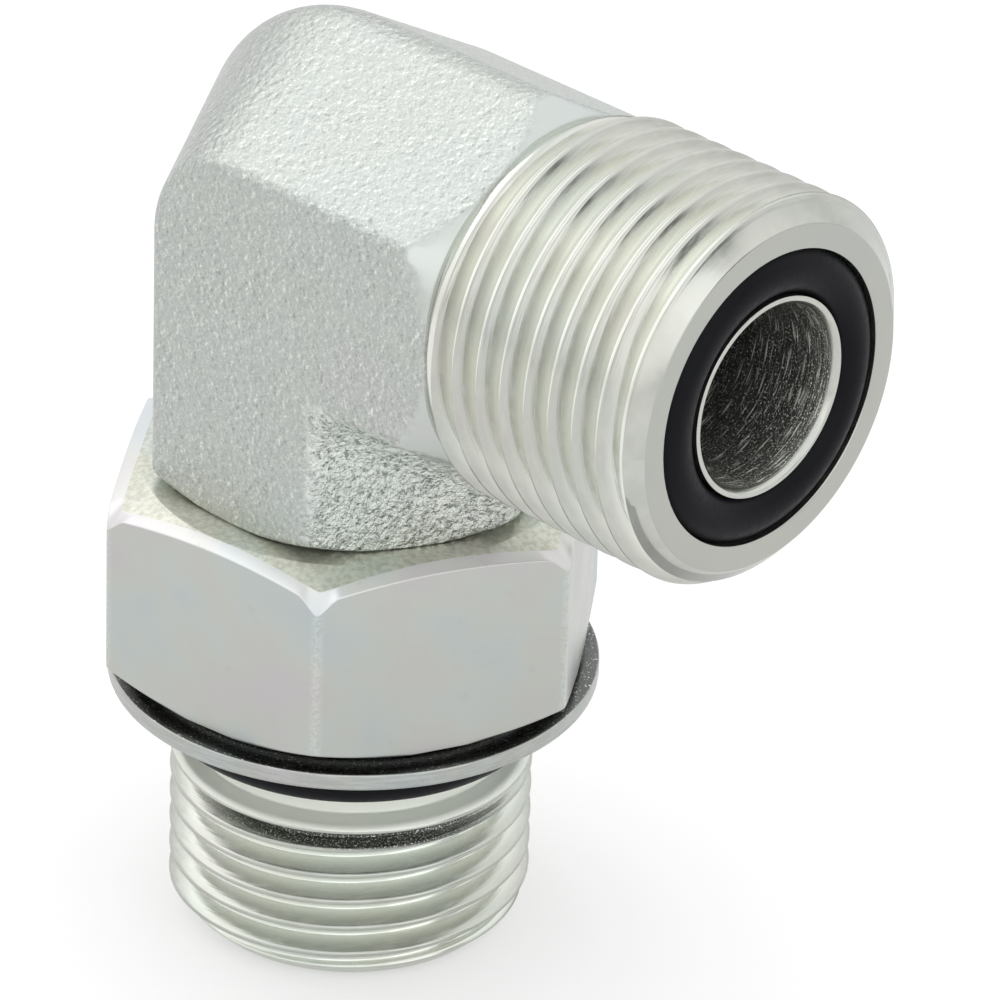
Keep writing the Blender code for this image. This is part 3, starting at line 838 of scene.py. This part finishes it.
# Lock nut
NUT_BORE_RADIUS = 0.00925
NUT_BOSS_RADIUS = 0.01095
NUT_BOSS_HEIGHT = 0.00028
NUT_BOSS_BEVEL = 0.0004
NUT_BORE_EDGE = 0.00015
NUT_TOP_INSET = 0.0008
NUT_STRIP_INSET = 0.00078
NUT_CORNER_INSET = 0.0005
NUT_BOTTOM_OUTSET = 0.0001
NUT_TOP_SLOPE = math.tan(math.radians(18))
NUT_CORNER_STEEPER = math.tan(math.radians(62)) - 0.325
NUT_BOTTOM_SLOPE = math.tan(math.radians(30))
NUT_SOFTNESS = 0.00005
CHAMFER_SOFTNESS = 0.00003
TOP_REACH = 0.00004
CORNER_WEAR = 0.00022
# Share of its round by which a corner's softened edge stands back, and how columns crowd to corners
CORNER_SETBACK = 0.155
CORNER_CROWDING = 1.6
NUT_ROUNDS = (0.0001, 0.0001, 0.00002, 0.00003, 0.00008, 0, 0.00014, 0.00010, 0.00012, 0.0001, 0.0001, 0)

# Washer and O-rings
WASHER_HOLE_RADIUS = 0.00975
HOLE_ROUND = 0.0001
RING_STEPS = 32
FACE_RING_RADIUS = 0.00648
FACE_RING_WIDTH = 0.0024


def hexagon_section(settings):
    """Rounded hexagon of the forging as (outward, sideways) points."""
    corner_radius = settings.flats / math.sqrt(3)
    sixth = math.pi / 3
    points = []
    for k in range(6):
        corner, before, after = [
            Vector((corner_radius * math.cos(a), corner_radius * math.sin(a)))
            for a in (k * sixth, (k - 1) * sixth, (k + 1) * sixth)
        ]
        radius = settings.ridge_round if k % 3 == 0 else settings.edge_round
        back = (before - corner).normalized()
        ahead = (after - corner).normalized()
        centre = corner + (back + ahead).normalized() * radius / math.sin(sixth)
        middle_angle = math.atan2((corner - centre).y, (corner - centre).x)
        for i in range(EDGE_STEPS + 1):
            turn_there = middle_angle + (i / EDGE_STEPS - 0.5) * sixth
            points.append(centre + Vector((math.cos(turn_there), math.sin(turn_there))) * radius)
        run = corner + ahead * radius / math.tan(sixth)
        next_radius = settings.ridge_round if k % 3 == 2 else settings.edge_round
        stop = after - ahead * next_radius / math.tan(sixth)
        for i in range(1, FLAT_STEPS):
            points.append(run.lerp(stop, i / FLAT_STEPS))
    return np.array([tuple(p) for p in points])


def forging_grid(settings):
    """Rows of the hexagon section, carried up the leg, round the elbow and out along the arm.

    x, y and z are measured from where the stud's axis meets the arm's.
    """
    outward, sideways = hexagon_section(settings).T
    outside = outward > 0
    crotch = settings.crotch_round
    centre_x = np.where(outside, 0.0, crotch - outward)
    centre_z = np.where(outside, 0.0, outward - crotch)
    radius = np.where(outside, outward, crotch)
    bottom = LEG_BOTTOM_Z - ARM_Z
    rows = [(-outward, bottom + (centre_z - bottom) * share) for share in LEG_ROWS]
    for share in BEND_ROWS:
        bend = math.pi - share * math.pi / 2
        rows.append((centre_x + radius * math.cos(bend), centre_z + radius * math.sin(bend)))
    end_x = settings.shoulder_x
    rows += [(centre_x + (end_x - centre_x) * share, outward) for share in ARM_ROWS]
    x = np.array([row[0] for row in rows])
    z = np.array([row[1] for row in rows])
    y = np.broadcast_to(sideways, x.shape)
    return x, y, z


def draw_in(reach, limit, share):
    """Factor that draws points outside the lathe's path in to it, softly at the cut's edge."""
    cut = soft_least(reach, limit, LATHE_SOFTNESS)
    return 1.0 + (cut / np.maximum(reach, 1e-6) - 1.0) * share


def add_forging(settings, material):
    """Forged elbow: the lathe's cone and foot chamfer are cut by drawing points in to the tool's path."""
    x, y, z = forging_grid(settings)
    reach = np.hypot(y, z)
    cone = settings.shoulder_radius + (settings.shoulder_x - x) * SHOULDER_SLOPE
    widest = settings.flats / math.sqrt(3) + CORNER_MARGIN
    reached = np.clip((widest + CUT_FADE - cone) / CUT_FADE, 0.0, 1.0)
    turned = np.clip((reach - cone) / FINISH_FADE + 0.5, 0.0, 1.0) * reached
    scale = draw_in(reach, cone, reached)
    y = y * scale
    z = z * scale
    x = np.minimum(x, settings.shoulder_x)
    bottom = LEG_BOTTOM_Z - ARM_Z
    foot = settings.foot_radius + (z - bottom) / FOOT_SLOPE
    scale = draw_in(np.hypot(x, y), foot, z < bottom + FOOT_CUT_HEIGHT)
    x = x * scale
    y = y * scale
    crotch = np.clip((x - CROTCH_FROM) / CROTCH_FADE, 0.0, 1.0)
    crotch *= np.clip((-CROTCH_FROM - z) / CROTCH_FADE, 0.0, 1.0)
    lip = np.stack([np.full(x.shape[1], settings.shoulder_x), y[-1] * LIP_SHARE, z[-1] * LIP_SHARE])
    foot_lip = np.stack([x[0] * LIP_SHARE, y[0] * LIP_SHARE, np.full(x.shape[1], bottom)])
    points = np.stack([x, y, z], axis=-1)
    points = np.concatenate([foot_lip.T[None], points, lip.T[None]]) + np.array(ARM_ORIGIN)
    faces = grid_faces(*points.shape[:2], close_columns=True)
    piece = new_piece("forging", points, faces, material, "elbow")
    edge = np.zeros((1, x.shape[1]))
    store_values(piece, "turned", np.concatenate([edge, turned, edge + 1]))
    store_values(piece, "crotch", np.concatenate([edge, crotch, edge]))
    shell = piece.modifiers.new("Skin", "SOLIDIFY")
    shell.thickness = SKIN_THICKNESS
    shell.offset = -1.0
    return piece


def add_arm(settings, columns, material, bore_material):
    """Turned face-seal end: neck, thread, bevelled face, seal groove, nozzle ring and drilled passage."""
    crest = settings.crest_radius
    face = FACE_X - STUD_X
    bevel_start = face - BEVEL_LENGTH
    first_crest = (settings.first_crest_x, settings.crest_angle)
    axial, share = thread_rows(ARM_START_X, bevel_start, *first_crest, columns)
    ramp = NECK_RADIUS + np.maximum(axial - RUN_OUT_X, 0.0) * RUN_OUT_SLOPE
    radial = soft_least(crest - thread_fall(share), ramp, 0.00003)
    radial = soft_least(radial, crest, 0.00002)
    end_fall = crest - (axial - (bevel_start - THREAD_END_LENGTH)) * THREAD_END_SLOPE
    radial = np.minimum(radial, np.maximum(end_fall, BEVEL_LOW_RADIUS))
    radial[axial <= ARM_START_X + 1e-9] = NECK_RADIUS
    root = plain_rows([*ARM_ROOT, (ARM_START_X, NECK_RADIUS)], columns)
    groove_x = face - GROOVE_DEPTH
    nozzle_x = face - NOZZLE_SETBACK
    front = soft_profile(
        (bevel_start, BEVEL_LOW_RADIUS, 0),
        (face, FACE_RADIUS, 0.00006),
        (face, GROOVE_RADIUS, 0.00008),
        (groove_x, GROOVE_RADIUS - GROOVE_TAPER, 0),
        (groove_x, NOZZLE_RADIUS, 0),
        (nozzle_x, NOZZLE_RADIUS, 0.00006),
        (nozzle_x, ARM_BORE_RADIUS + BORE_BEVEL, 0.00006),
        (nozzle_x - NOZZLE_BEVEL_LENGTH, ARM_BORE_RADIUS, 0),
    )
    bore = [(nozzle_x - ARM_BORE_ROW, ARM_BORE_RADIUS), (ARM_BORE_FROM, ARM_BORE_RADIUS)]
    stretches = (root, (axial, radial), plain_rows(front, columns), plain_rows(bore, columns))
    axial, radial = [np.concatenate(rows) for rows in zip(*stretches)]
    arm = turned_piece("arm_end", axial, radial, True, material, "elbow")
    line_bore(arm, ARM_BORE_RADIUS + ARM_BORE_REACH, True, bore_material)
    return arm


def add_stud(settings, columns, material, bore_material):
    """Turned port stud: bevelled end, thread, collar, undercut, plain upper stretch and relief."""
    crest = settings.crest_radius
    bore = STUD_BORE_RADIUS
    start = STUD_BEVEL_TOP * STUD_START_SHARE
    top = STUD_THREAD_TOP
    axial, share = thread_rows(start, top, settings.first_crest_z, settings.crest_angle, columns)
    bevel = STUD_END_RADIUS + axial / STUD_BEVEL_TOP * (crest - STUD_END_RADIUS)
    radial = soft_least(crest - thread_fall(share), bevel, 0.00004)
    run_out = crest - (COLLAR_FULL - axial) * math.sqrt(3)
    collar = soft_least(run_out, crest, 0.00005)
    radial = np.maximum(radial, np.where(axial > COLLAR_FROM, collar, 0.0))
    edge = COLLAR_TOP_RADIUS + np.sqrt(np.maximum(top - axial, 0.0) / COLLAR_ROUND) * COLLAR_DROP
    radial = np.minimum(radial, np.where(axial > top - COLLAR_ROUND, edge, 1.0))
    upper = soft_profile(
        (top, COLLAR_TOP_RADIUS, 0),
        *STUD_UPPER,
        (STUD_TOP, bore, 0),
        (BORE_BEVEL, bore, 0),
        (0.0, bore + BORE_BEVEL, 0),
        (0.0, STUD_LIP_RADIUS, 0.0001),
        (start, STUD_END_RADIUS + STUD_START_SHARE * (crest - STUD_END_RADIUS), 0),
    )
    axial, radial = [np.concatenate(rows) for rows in zip((axial, radial), plain_rows(upper, columns))]
    stud = turned_piece("port_stud", axial, radial, False, material, "elbow")
    line_bore(stud, bore + BORE_REACH, False, bore_material)
    return stud


def drilled(name, radius, length, matrix):
    """Cylinder that stands for one drilled hole."""
    shape = bmesh.new()
    size = {"radius1": radius, "radius2": radius, "depth": length, "segments": DRILL_SEGMENTS}
    bmesh.ops.create_cone(shape, cap_ends=True, matrix=matrix, **size)
    mesh = bpy.data.meshes.new(name)
    shape.to_mesh(mesh)
    shape.free()
    return add_object(name, mesh)


def is_mouth(face):
    """Whether a face of the joined passages closes the mouth at the arm or the one at the stud."""
    centre = face.calc_center_median()
    at_arm = face.normal.x > 0.9 and centre.x > STUD_X + ARM_BORE_FROM - MOUTH_REACH
    return at_arm or (face.normal.z < -0.9 and centre.z < STUD_TOP + MOUTH_REACH)


def add_passage(material):
    """Inside of the two drilled passages, which meet in the elbow."""
    arm_length = ARM_BORE_FROM + DRILL_PAST_AXIS
    arm_place = Matrix.Translation((STUD_X + ARM_BORE_FROM - arm_length / 2, 0.0, ARM_Z))
    arm_place = arm_place @ Matrix.Rotation(math.pi / 2, 4, "Y")
    leg_length = ARM_Z + DRILL_PAST_AXIS - STUD_TOP
    leg_place = Matrix.Translation((STUD_X, 0.0, STUD_TOP + leg_length / 2))
    arm = drilled("passage", ARM_BORE_RADIUS, arm_length, arm_place)
    leg = drilled("passage_leg", STUD_BORE_RADIUS, leg_length, leg_place)
    join = arm.modifiers.new("Join", "BOOLEAN")
    join.operation = "UNION"
    join.solver = "EXACT"
    join.object = leg
    bpy.context.view_layer.update()
    joined = bpy.data.meshes.new_from_object(arm.evaluated_get(bpy.context.evaluated_depsgraph_get()))
    for spare in (arm, leg):
        bpy.data.objects.remove(spare, do_unlink=True)
    shape = bmesh.new()
    shape.from_mesh(joined)
    bmesh.ops.delete(shape, geom=[face for face in shape.faces if is_mouth(face)], context="FACES")
    bmesh.ops.reverse_faces(shape, faces=shape.faces)
    shape.to_mesh(joined)
    shape.free()
    joined.materials.clear()
    joined.materials.append(material)
    joined.shade_smooth()
    joined.set_sharp_from_angle(angle=math.radians(40))
    passage = add_object("passage", joined)
    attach(passage, "elbow")
    return passage


def add_nut(settings, columns, material):
    """Hexagon nut: at each angle its section follows the flat, both turned chamfers and the boss."""
    spread = np.linspace(-1.0, 1.0, columns // 6 + 1)[:-1]
    eased = np.sign(spread) * (1 - (1 - np.abs(spread)) ** CORNER_CROWDING)
    angle = np.concatenate([math.pi / 6 + k * math.pi / 3 + eased * math.pi / 6 for k in range(6)])
    angle = np.append(angle, angle[0] + math.tau) + settings.angle
    from_flat = (angle - settings.angle) % (math.pi / 3) - math.pi / 6
    half = settings.flats / 2
    corner_radius = half * 2 / math.sqrt(3)
    worn_corner = corner_radius - settings.corner_round * CORNER_SETBACK
    side = soft_least(half / np.cos(from_flat), worn_corner, NUT_SOFTNESS)
    top = NUT_HIGH.z
    boss_z = NUT_LOW.z
    hex_bottom = boss_z + NUT_BOSS_HEIGHT
    top_radius = half - NUT_TOP_INSET
    strip_radius = side - NUT_STRIP_INSET
    strip_top = top - (strip_radius - top_radius) * NUT_TOP_SLOPE
    past_inset = side - corner_radius + NUT_CORNER_INSET
    past_corner = CHAMFER_SOFTNESS * np.logaddexp(0.0, past_inset / CHAMFER_SOFTNESS)
    side_top = top - (side - top_radius) * NUT_TOP_SLOPE - past_corner * NUT_CORNER_STEEPER
    bottom_radius = np.minimum(half + NUT_BOTTOM_OUTSET, side)
    side_bottom = hex_bottom + (side - bottom_radius) * NUT_BOTTOM_SLOPE
    level = np.ones_like(angle)
    section = (
        (top - NUT_BORE_EDGE, NUT_BORE_RADIUS),
        (top, NUT_BORE_RADIUS + NUT_BORE_EDGE),
        (top, top_radius),
        (strip_top, strip_radius),
        (side_top, side),
        ((side_top + side_bottom) / 2, side),
        (side_bottom, side),
        (hex_bottom, bottom_radius),
        (hex_bottom, NUT_BOSS_RADIUS),
        (boss_z, NUT_BOSS_RADIUS),
        (boss_z, NUT_BORE_RADIUS + NUT_BOSS_BEVEL),
        (boss_z + NUT_BOSS_BEVEL, NUT_BORE_RADIUS),
    )
    corners = [np.stack([height * level, radius * level], axis=-1) for height, radius in section]
    rows = softened(corners, NUT_ROUNDS)
    points = around(rows[..., 0], rows[..., 1], angle[None, :], False)
    piece = new_piece("hex_nut", points, grid_faces(*points.shape[:2], close_rows=True), material, "nut")
    on_top = rows[..., 0] > side_top[None, :] - TOP_REACH
    chamfer = np.clip((rows[..., 1] - strip_radius[None, :]) / CHAMFER_SOFTNESS + 0.5, 0.0, 1.0)
    store_values(piece, "turned", on_top * 1.0)
    store_values(piece, "chamfer", on_top * chamfer)
    store_values(piece, "corner", np.clip(1.0 - (corner_radius - rows[..., 1]) / CORNER_WEAR, 0.0, 1.0))
    return weld(piece)


def add_washer(settings, columns, material):
    """Flat washer with the soft edges of a stamping."""
    rim = (WASHER_HIGH.x - WASHER_LOW.x) / 2
    profile = soft_profile(
        (WASHER_HIGH.z, WASHER_HOLE_RADIUS, HOLE_ROUND),
        (WASHER_HIGH.z, rim, settings.edge_round * 0.6),
        (WASHER_LOW.z, rim, settings.edge_round),
        (WASHER_LOW.z, WASHER_HOLE_RADIUS, HOLE_ROUND),
        steps=5,
    )
    return turned_piece("washer", *plain_rows(profile, columns), False, material, "washer_set")


def add_ring(name, centre, radius, section, lies_on_x, columns, material, body, squash=1.0):
    """O-ring of round section. squash flattens it along its axis."""
    round_section = np.linspace(0.0, math.tau, RING_STEPS + 1)[:-1]
    axial = centre - np.sin(round_section) * section / 2 * squash
    radial = radius + np.cos(round_section) * section / 2
    rows = plain_rows(np.stack([axial, radial], axis=-1), columns)
    return turned_piece(name, *rows, lies_on_x, material, body)


# Stage

# Photograph's camera, in degrees and metres
CAMERA_YAW = 42.571
CAMERA_PITCH = 29.284
CAMERA_ROLL = 1.81
CAMERA_DISTANCE = 0.4153
AIM_HEIGHT = 0.024953
AIM_RIGHT = 0.007346
AIM_DOWN = 0.0009305
SENSOR_WIDTH = 36.0

FLOOR_GREY = 0.62
FLOOR_REACH = 3.0
# Glow that brings the floor up to white where the camera sees it, and partly where metal mirrors it
FLOOR_GLOW = 0.38
MIRRORED_GLOW = 0.22

LAMP_AIM = (0.0, 0.0, 0.03)
LAMP_DISTANCE = 1.0


def camera_axes():
    """Right, up and back of the photograph's camera."""
    yaw, pitch, roll = [math.radians(angle) for angle in (CAMERA_YAW, CAMERA_PITCH, CAMERA_ROLL)]
    right = Vector((math.cos(yaw), math.sin(yaw), 0.0))
    back = Vector((math.sin(yaw) * math.cos(pitch), -math.cos(yaw) * math.cos(pitch), math.sin(pitch)))
    up = back.cross(right)
    return right * math.cos(roll) + up * math.sin(roll), up * math.cos(roll) - right * math.sin(roll), back


def add_camera(settings):
    """Camera at the photograph's place, turned as the photograph's was."""
    right, up, back = camera_axes()
    aim = Vector((STUD_X, 0.0, AIM_HEIGHT)) + right * AIM_RIGHT - up * AIM_DOWN
    data = bpy.data.cameras.new("camera")
    data.lens = settings.focal_length
    data.sensor_width = SENSOR_WIDTH
    data.clip_start = 0.01
    data.clip_end = 20.0
    camera = add_object("camera", data)
    place = Matrix((right, up, back)).transposed().to_4x4()
    place.translation = aim + back * CAMERA_DISTANCE
    camera.matrix_world = place
    bpy.context.scene.camera = camera


def add_floor():
    """Pale floor that catches the part's shadow."""
    material, bench, shader, _ = new_material("floor_white", metallic=0.0)
    material.cycles.emission_sampling = "NONE"
    shader.inputs["Base Color"].default_value = rgba((FLOOR_GREY, FLOOR_GREY, FLOOR_GREY))
    shader.inputs["Roughness"].default_value = 0.9
    shader.inputs["Specular IOR Level"].default_value = 0.0
    shader.inputs["Emission Color"].default_value = (1.0, 1.0, 1.0, 1.0)
    ray = bench.add("ShaderNodeLightPath").outputs
    seen = bench.maths("MULTIPLY", ray["Is Camera Ray"], FLOOR_GLOW)
    mirrored = bench.maths("MAXIMUM", ray["Is Glossy Ray"], ray["Is Transmission Ray"])
    glow = bench.maths("ADD", seen, bench.maths("MULTIPLY", mirrored, MIRRORED_GLOW))
    bench.feed(shader.inputs["Emission Strength"], glow)
    mesh = bpy.data.meshes.new("floor")
    corners = [(x * FLOOR_REACH, y * FLOOR_REACH, 0) for x, y in ((-1, -1), (1, -1), (1, 1), (-1, 1))]
    mesh.from_pydata(corners, [], [(0, 1, 2, 3)])
    mesh.materials.append(material)
    floor = add_object("floor", mesh)


def add_lamp(name, place, aim, size, power):
    """Soft rectangular lamp that looks at the part."""
    data = bpy.data.lights.new(name, "AREA")
    data.shape = "RECTANGLE"
    data.size = size[0]
    data.size_y = size[1]
    data.energy = power
    lamp = add_object(name, data)
    lamp.location = place
    lamp.rotation_euler = (aim - place).to_track_quat("-Z", "Y").to_euler()


# Soft lamps: name, direction from the part, size in metres and share of the full brightness
SOFT_LAMPS = (
    ("soft_top_left", (-0.59, -0.10, 0.80), (0.9, 0.9), 1.0),
    ("soft_right", (0.94, -0.08, 0.28), (0.55, 0.7), 0.9),
    ("soft_front_low", (0.60, -0.70, 0.30), (0.6, 0.4), 0.7),
)

# Direction of the dark gap between two soft lamps, where its edge fades, and the light left in it
LAMP_GAP = (0.884, 0.351, 0.311)
GAP_EDGE = (0.975, 0.995)
GAP_LIGHT = 0.12

# How much brighter the sky is overhead, and the heights between which it brightens
SKY_GAIN = 1.36
SKY_RISE = (0.05, 0.55)


def light_world(strength):
    """Even light all round, brighter overhead, with a dark gap between two lamps."""
    world = bpy.data.worlds.new("studio")
    world.use_nodes = True
    bench = NodeBench(world.node_tree)
    background = world.node_tree.nodes["Background"]
    background.inputs["Color"].default_value = (1.0, 1.0, 1.0, 1.0)
    direction = bench.add("ShaderNodeTexCoord").outputs["Generated"]
    height = bench.add("ShaderNodeSeparateXYZ", {"Vector": direction}).outputs["Z"]
    sky = bench.between(height, *SKY_RISE, strength, strength * SKY_GAIN)
    facing = bench.vector("DOT_PRODUCT", direction, LAMP_GAP)
    gap = bench.between(facing, *GAP_EDGE, 1.0, GAP_LIGHT)
    lit = bench.maths("MULTIPLY", sky, gap)
    seen = bench.add("ShaderNodeLightPath").outputs["Is Camera Ray"]
    bench.feed(background.inputs["Strength"], bench.maths("MAXIMUM", lit, seen))
    bpy.context.scene.world = world


# Operators


class ELBOW_OT_forging(bpy.types.Operator):
    """Forged elbow with its blasted zinc finish"""

    bl_idname = "elbow.forging"
    bl_label = "Forged elbow"

    def execute(self, context):
        settings = context.scene.elbow_forging
        piece = add_forging(settings, forged_zinc(settings))
        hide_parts("elbow_body")
        return {"FINISHED"}


class ELBOW_OT_turned_ends(bpy.types.Operator):
    """Threaded arm and stud, and the passages drilled through them"""

    bl_idname = "elbow.turned_ends"
    bl_label = "Turned ends"

    def execute(self, context):
        scene = context.scene
        columns = scene.elbow_stage.turned_steps
        bore = bore_zinc(scene.elbow_arm)
        arm_zinc = turned_zinc(
            "arm_zinc",
            scene.elbow_arm.zinc,
            ARM_ORIGIN,
            0.0,
            scene.elbow_arm.crest_radius,
            thread_end=FACE_X - STUD_X - PALE_ROOTS_END,
            face=FACE_X - STUD_X - FACE_SHADE,
        )
        stud_zinc = turned_zinc(
            "stud_zinc",
            scene.elbow_stud.zinc,
            STUD_ORIGIN,
            1.0,
            scene.elbow_stud.crest_radius,
            thread_end=STUD_THREAD_END,
            dull=DULL_LIT_BAND,
            painted_dark_band=PAINTED_DARK_BAND,
        )
        arm = add_arm(scene.elbow_arm, columns, arm_zinc, bore)
        stud = add_stud(scene.elbow_stud, columns, stud_zinc, bore)
        passage = add_passage(bore)
        return {"FINISHED"}


class ELBOW_OT_nut(bpy.types.Operator):
    """Lock nut with smooth zinc plate"""

    bl_idname = "elbow.nut"
    bl_label = "Lock nut"

    def execute(self, context):
        scene = context.scene
        piece = add_nut(scene.elbow_nut, scene.elbow_stage.turned_steps, nut_zinc(scene.elbow_nut))
        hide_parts("lock_nut")
        return {"FINISHED"}


class ELBOW_OT_washer(bpy.types.Operator):
    """Backup washer with rounded stamped edges"""

    bl_idname = "elbow.washer"
    bl_label = "Backup washer"

    def execute(self, context):
        scene = context.scene
        settings = scene.elbow_washer
        piece = add_washer(settings, scene.elbow_stage.turned_steps, washer_zinc(settings))
        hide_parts("backup_washer")
        return {"FINISHED"}


class ELBOW_OT_seals(bpy.types.Operator):
    """Face and port O-rings"""

    bl_idname = "elbow.seals"
    bl_label = "O-rings"

    def execute(self, context):
        scene = context.scene
        settings = scene.elbow_seals
        columns = scene.elbow_stage.turned_steps
        rubber = nitrile_rubber(settings)
        face_place = FACE_RING_HIGH.x - STUD_X - settings.face_section / 2
        squash = settings.face_section / FACE_RING_WIDTH
        face_ring = (face_place, FACE_RING_RADIUS, FACE_RING_WIDTH)
        face = add_ring("face_seal", *face_ring, True, columns, rubber, "elbow", squash)
        port_radius = (PORT_RING_HIGH.x - PORT_RING_LOW.x) / 2 - settings.port_section / 2
        port_place = PORT_RING_HIGH.z - settings.port_section / 2
        port = add_ring(
            "port_seal", port_place, port_radius, settings.port_section, False, columns, rubber, "washer_set"
        )
        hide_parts("face_o_ring")
        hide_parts("port_o_ring")
        return {"FINISHED"}


class ELBOW_OT_stage(bpy.types.Operator):
    """Camera, floor and soft studio light"""

    bl_idname = "elbow.stage"
    bl_label = "Studio"

    def execute(self, context):
        settings = context.scene.elbow_stage
        add_camera(settings)
        add_floor()
        light_world(settings.sky_strength)
        aim = Vector(LAMP_AIM)
        for name, direction, size, share in SOFT_LAMPS:
            place = aim + Vector(direction).normalized() * LAMP_DISTANCE
            add_lamp(name, place, aim, size, share * settings.lamp_radiance * math.pi * size[0] * size[1])
        context.scene.view_settings.view_transform = "Standard"
        return {"FINISHED"}


class ELBOW_PT_panel(bpy.types.Panel):
    """Lists the elbow's pieces in the sidebar"""

    bl_idname = "ELBOW_PT_panel"
    bl_label = "Hydraulic elbow"
    bl_space_type = "VIEW_3D"
    bl_region_type = "UI"
    bl_category = "Elbow"

    def draw(self, context):
        layout = self.layout
        for operator in OPERATORS:
            layout.operator(operator.bl_idname)
        for name in SETTINGS:
            group = getattr(context.scene, name)
            box = layout.box()
            box.label(text=name.replace("_", " ").capitalize())
            for key in group.bl_rna.properties.keys():
                if key not in ("rna_type", "name"):
                    box.prop(group, key)


SETTINGS = {
    "elbow_forging": ForgingSettings,
    "elbow_arm": ArmSettings,
    "elbow_stud": StudSettings,
    "elbow_nut": NutSettings,
    "elbow_washer": WasherSettings,
    "elbow_seals": SealSettings,
    "elbow_stage": StageSettings,
}
OPERATORS = (
    ELBOW_OT_forging,
    ELBOW_OT_turned_ends,
    ELBOW_OT_nut,
    ELBOW_OT_washer,
    ELBOW_OT_seals,
    ELBOW_OT_stage,
)


def register():
    for settings in SETTINGS.values():
        bpy.utils.register_class(settings)
    for name, settings in SETTINGS.items():
        setattr(bpy.types.Scene, name, PointerProperty(type=settings))
    for operator in OPERATORS:
        bpy.utils.register_class(operator)
    bpy.utils.register_class(ELBOW_PT_panel)


def unregister():
    bpy.utils.unregister_class(ELBOW_PT_panel)
    for operator in reversed(OPERATORS):
        bpy.utils.unregister_class(operator)
    for name in SETTINGS:
        delattr(bpy.types.Scene, name)
    for settings in reversed(list(SETTINGS.values())):
        bpy.utils.unregister_class(settings)


def main():
    register()
    bpy.ops.elbow.forging()
    bpy.ops.elbow.turned_ends()
    bpy.ops.elbow.nut()
    bpy.ops.elbow.washer()
    bpy.ops.elbow.seals()
    bpy.ops.elbow.stage()


if __name__ == "__main__":
    main()
